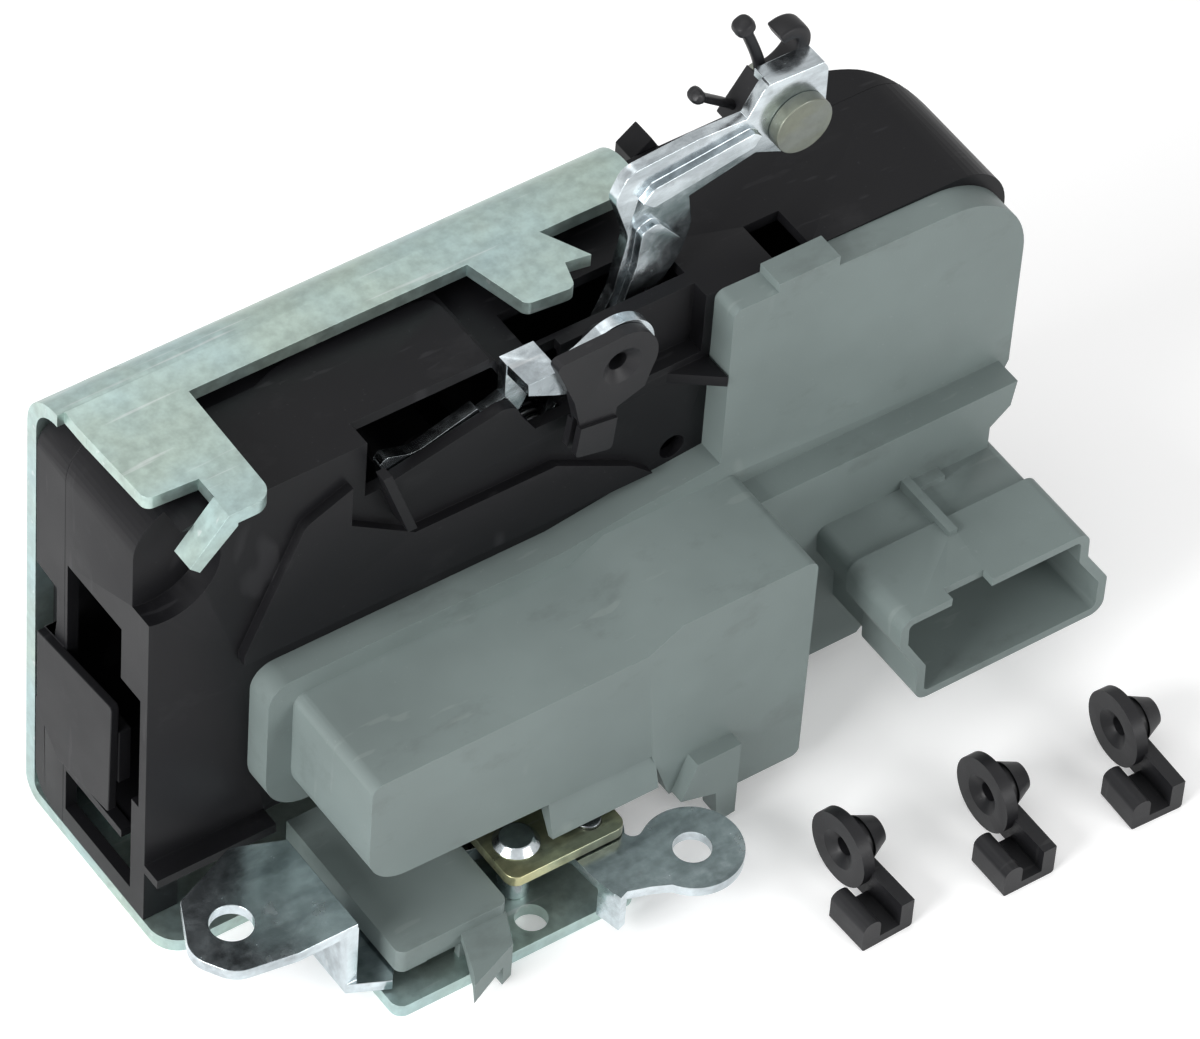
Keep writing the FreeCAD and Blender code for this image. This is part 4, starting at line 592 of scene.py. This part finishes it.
class LOCK_OT_covers(bpy.types.Operator):
    """The grey drive cover with its connector, and the small latch cover"""
    bl_idname = "lock.covers"
    bl_label = "Grey covers"

    def execute(self, context):
        _, edges, _ = settings()
        dress(("actuator_cover", "latch_cover"), edges.moulded, edges.steps)
        return {"FINISHED"}


class LOCK_OT_clips(bpy.types.Operator):
    """The fitted rod clip and the loose ones"""
    bl_idname = "lock.clips"
    bl_label = "Rod clips"

    def execute(self, context):
        _, edges, _ = settings()
        dress(("rod_clip", "spare_rod_clips"), edges.small, edges.steps)
        return {"FINISHED"}


class LOCK_OT_latch(bpy.types.Operator):
    """Fork, pawl, their pins and spring, and the striker buffer"""
    bl_idname = "lock.latch"
    bl_label = "Latch"

    def execute(self, context):
        _, edges, _ = settings()
        dress(("fork", "pawl", "fork_pivot_pin", "pawl_pivot_pin", "key_lever_pin", "striker_buffer",
               "outside_lever_pin", "lock_lever_pin"), edges.small, edges.steps)
        dress(("fork_spring", "outside_lever_spring"), SQUARE_EDGES, edges.steps)
        return {"FINISHED"}


class LOCK_OT_drive(bpy.types.Operator):
    """Motor, worm, wheel, slider, switch, board and blades"""
    bl_idname = "lock.drive"
    bl_label = "Drive"

    def execute(self, context):
        _, edges, _ = settings()
        dress(("motor_can", "motor_end_cap", "microswitch", "contact_board", "connector_blades"),
              edges.small * FINE_SHARE, edges.steps)
        dress(("motor_shaft", "worm", "worm_wheel", "worm_wheel_pin", "lock_slider"), SQUARE_EDGES,
              edges.steps)
        return {"FINISHED"}


def area_lamp(name, place, size, power):
    """A rectangular lamp that faces the middle of the lock."""
    data = bpy.data.lights.new(name, "AREA")
    data.shape = "RECTANGLE"
    data.size, data.size_y = size
    data.energy = power
    lamp = bpy.data.objects.new(name, data)
    lamp.location = place
    lamp.rotation_euler = (LOCK_MIDDLE - Vector(place)).to_track_quat("-Z", "Y").to_euler()
    bpy.context.scene.collection.objects.link(lamp)


def seen_directly(tree):
    """1 for rays of the camera, of mirrors and of glass, and 0 for light on its way."""
    path = tree.nodes.new("ShaderNodeLightPath")
    seen = joined(tree, "MAXIMUM", path.outputs["Is Camera Ray"], path.outputs["Is Glossy Ray"])
    return joined(tree, "MAXIMUM", seen, path.outputs["Is Transmission Ray"])


def make_world(strength):
    """Even light, and plain white for what the camera and mirrors see of it."""
    world = bpy.data.worlds.new("studio")
    world.use_nodes = True
    tree = world.node_tree
    light = tree.nodes["Background"]
    light.inputs["Color"].default_value = (1, 1, 1, 1)
    light.inputs["Strength"].default_value = strength
    bright = tree.nodes.new("ShaderNodeBackground")
    bright.inputs["Strength"].default_value = 1.0
    mix = tree.nodes.new("ShaderNodeMixShader")
    tree.links.new(seen_directly(tree), mix.inputs[0])
    tree.links.new(light.outputs[0], mix.inputs[1])
    tree.links.new(bright.outputs[0], mix.inputs[2])
    tree.links.new(mix.outputs[0], tree.nodes["World Output"].inputs["Surface"])
    bpy.context.scene.world = world


def make_floor():
    """A pale floor, large enough to reach past the picture on all sides."""
    mesh = bpy.data.meshes.new("floor")
    corners = [(x * FLOOR_REACH, y * FLOOR_REACH, 0) for x, y in ((-1, -1), (1, -1), (1, 1), (-1, 1))]
    mesh.from_pydata(corners, [], [(0, 1, 2, 3)])
    floor = bpy.data.objects.new("floor", mesh)
    material = bpy.data.materials.new("floor_white")
    material.use_nodes = True
    tree = material.node_tree
    shader = tree.nodes["Principled BSDF"]
    for key, value in (("Base Color", (FLOOR_GREY, FLOOR_GREY, FLOOR_GREY, 1)), ("Roughness", 0.9),
                       ("Specular IOR Level", 0.1), ("Emission Color", (1, 1, 1, 1))):
        shader.inputs[key].default_value = value
    lift = joined(tree, "MULTIPLY", seen_directly(tree), FLOOR_LIFT)
    tree.links.new(lift, shader.inputs["Emission Strength"])
    mesh.materials.append(material)
    bpy.context.scene.collection.objects.link(floor)


def make_camera(stage):
    """Stands where the photograph was taken from, worked out from the plate's straight edges."""
    data = bpy.data.cameras.new("camera")
    data.sensor_fit = "HORIZONTAL"
    data.sensor_width = SENSOR_MM
    data.lens = stage.focal_px / stage.picture_px[0] * data.sensor_width
    data.clip_start, data.clip_end = NEAREST, FARTHEST
    camera = bpy.data.objects.new("camera", data)
    right = Vector(stage.right).normalized()
    up = -Vector(stage.down).normalized()
    back = right.cross(up).normalized()
    up = back.cross(right)
    turn = Matrix((right, up, back)).transposed()
    camera.matrix_world = Matrix.Translation(Vector(stage.eye)) @ turn.to_4x4()
    bpy.context.scene.collection.objects.link(camera)
    bpy.context.scene.camera = camera


class LOCK_OT_stage(bpy.types.Operator):
    """Floor, soft lamps and the camera"""
    bl_idname = "lock.stage"
    bl_label = "Stage"

    def execute(self, context):
        _, _, stage = settings()
        make_world(stage.sky)
        make_floor()
        area_lamp("overhead", place=(-0.1, 0.25, 1.1), size=(0.9, 0.7), power=stage.key)
        area_lamp("left", place=(-1.0, -0.2, 0.5), size=(0.6, 0.6), power=stage.side)
        area_lamp("front", place=(0.5, -1.1, 0.5), size=(0.6, 0.4), power=stage.front)
        make_camera(stage)
        context.scene.view_settings.view_transform = "Standard"
        return {"FINISHED"}


class LOCK_PT_panel(bpy.types.Panel):
    """The door lock's operators and settings"""
    bl_idname = "LOCK_PT_panel"
    bl_label = "Door lock"
    bl_space_type = "VIEW_3D"
    bl_region_type = "UI"
    bl_category = "Door lock"

    def draw(self, context):
        for operator in OPERATORS:
            self.layout.operator(operator.bl_idname)
        for group in (context.scene.lock_finish, context.scene.lock_edges, context.scene.lock_stage):
            for key in group.__annotations__:
                self.layout.prop(group, key)


OPERATORS = (LOCK_OT_stage, LOCK_OT_pressings, LOCK_OT_levers, LOCK_OT_shells, LOCK_OT_covers, LOCK_OT_clips,
             LOCK_OT_rod_holder, LOCK_OT_latch, LOCK_OT_drive)
CLASSES = (LockFinish, LockEdges, LockStage) + OPERATORS + (LOCK_PT_panel,)


def register():
    for item in CLASSES:
        bpy.utils.register_class(item)
    bpy.types.Scene.lock_finish = PointerProperty(type=LockFinish)
    bpy.types.Scene.lock_edges = PointerProperty(type=LockEdges)
    bpy.types.Scene.lock_stage = PointerProperty(type=LockStage)


def unregister():
    del bpy.types.Scene.lock_stage
    del bpy.types.Scene.lock_edges
    del bpy.types.Scene.lock_finish
    for item in reversed(CLASSES):
        bpy.utils.unregister_class(item)


def main():
    """Registers the add-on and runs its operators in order."""
    register()
    make_materials()
    for operator in OPERATORS:
        group, name = operator.bl_idname.split(".")
        getattr(getattr(bpy.ops, group), name)()


if __name__ == "__main__":
    main()
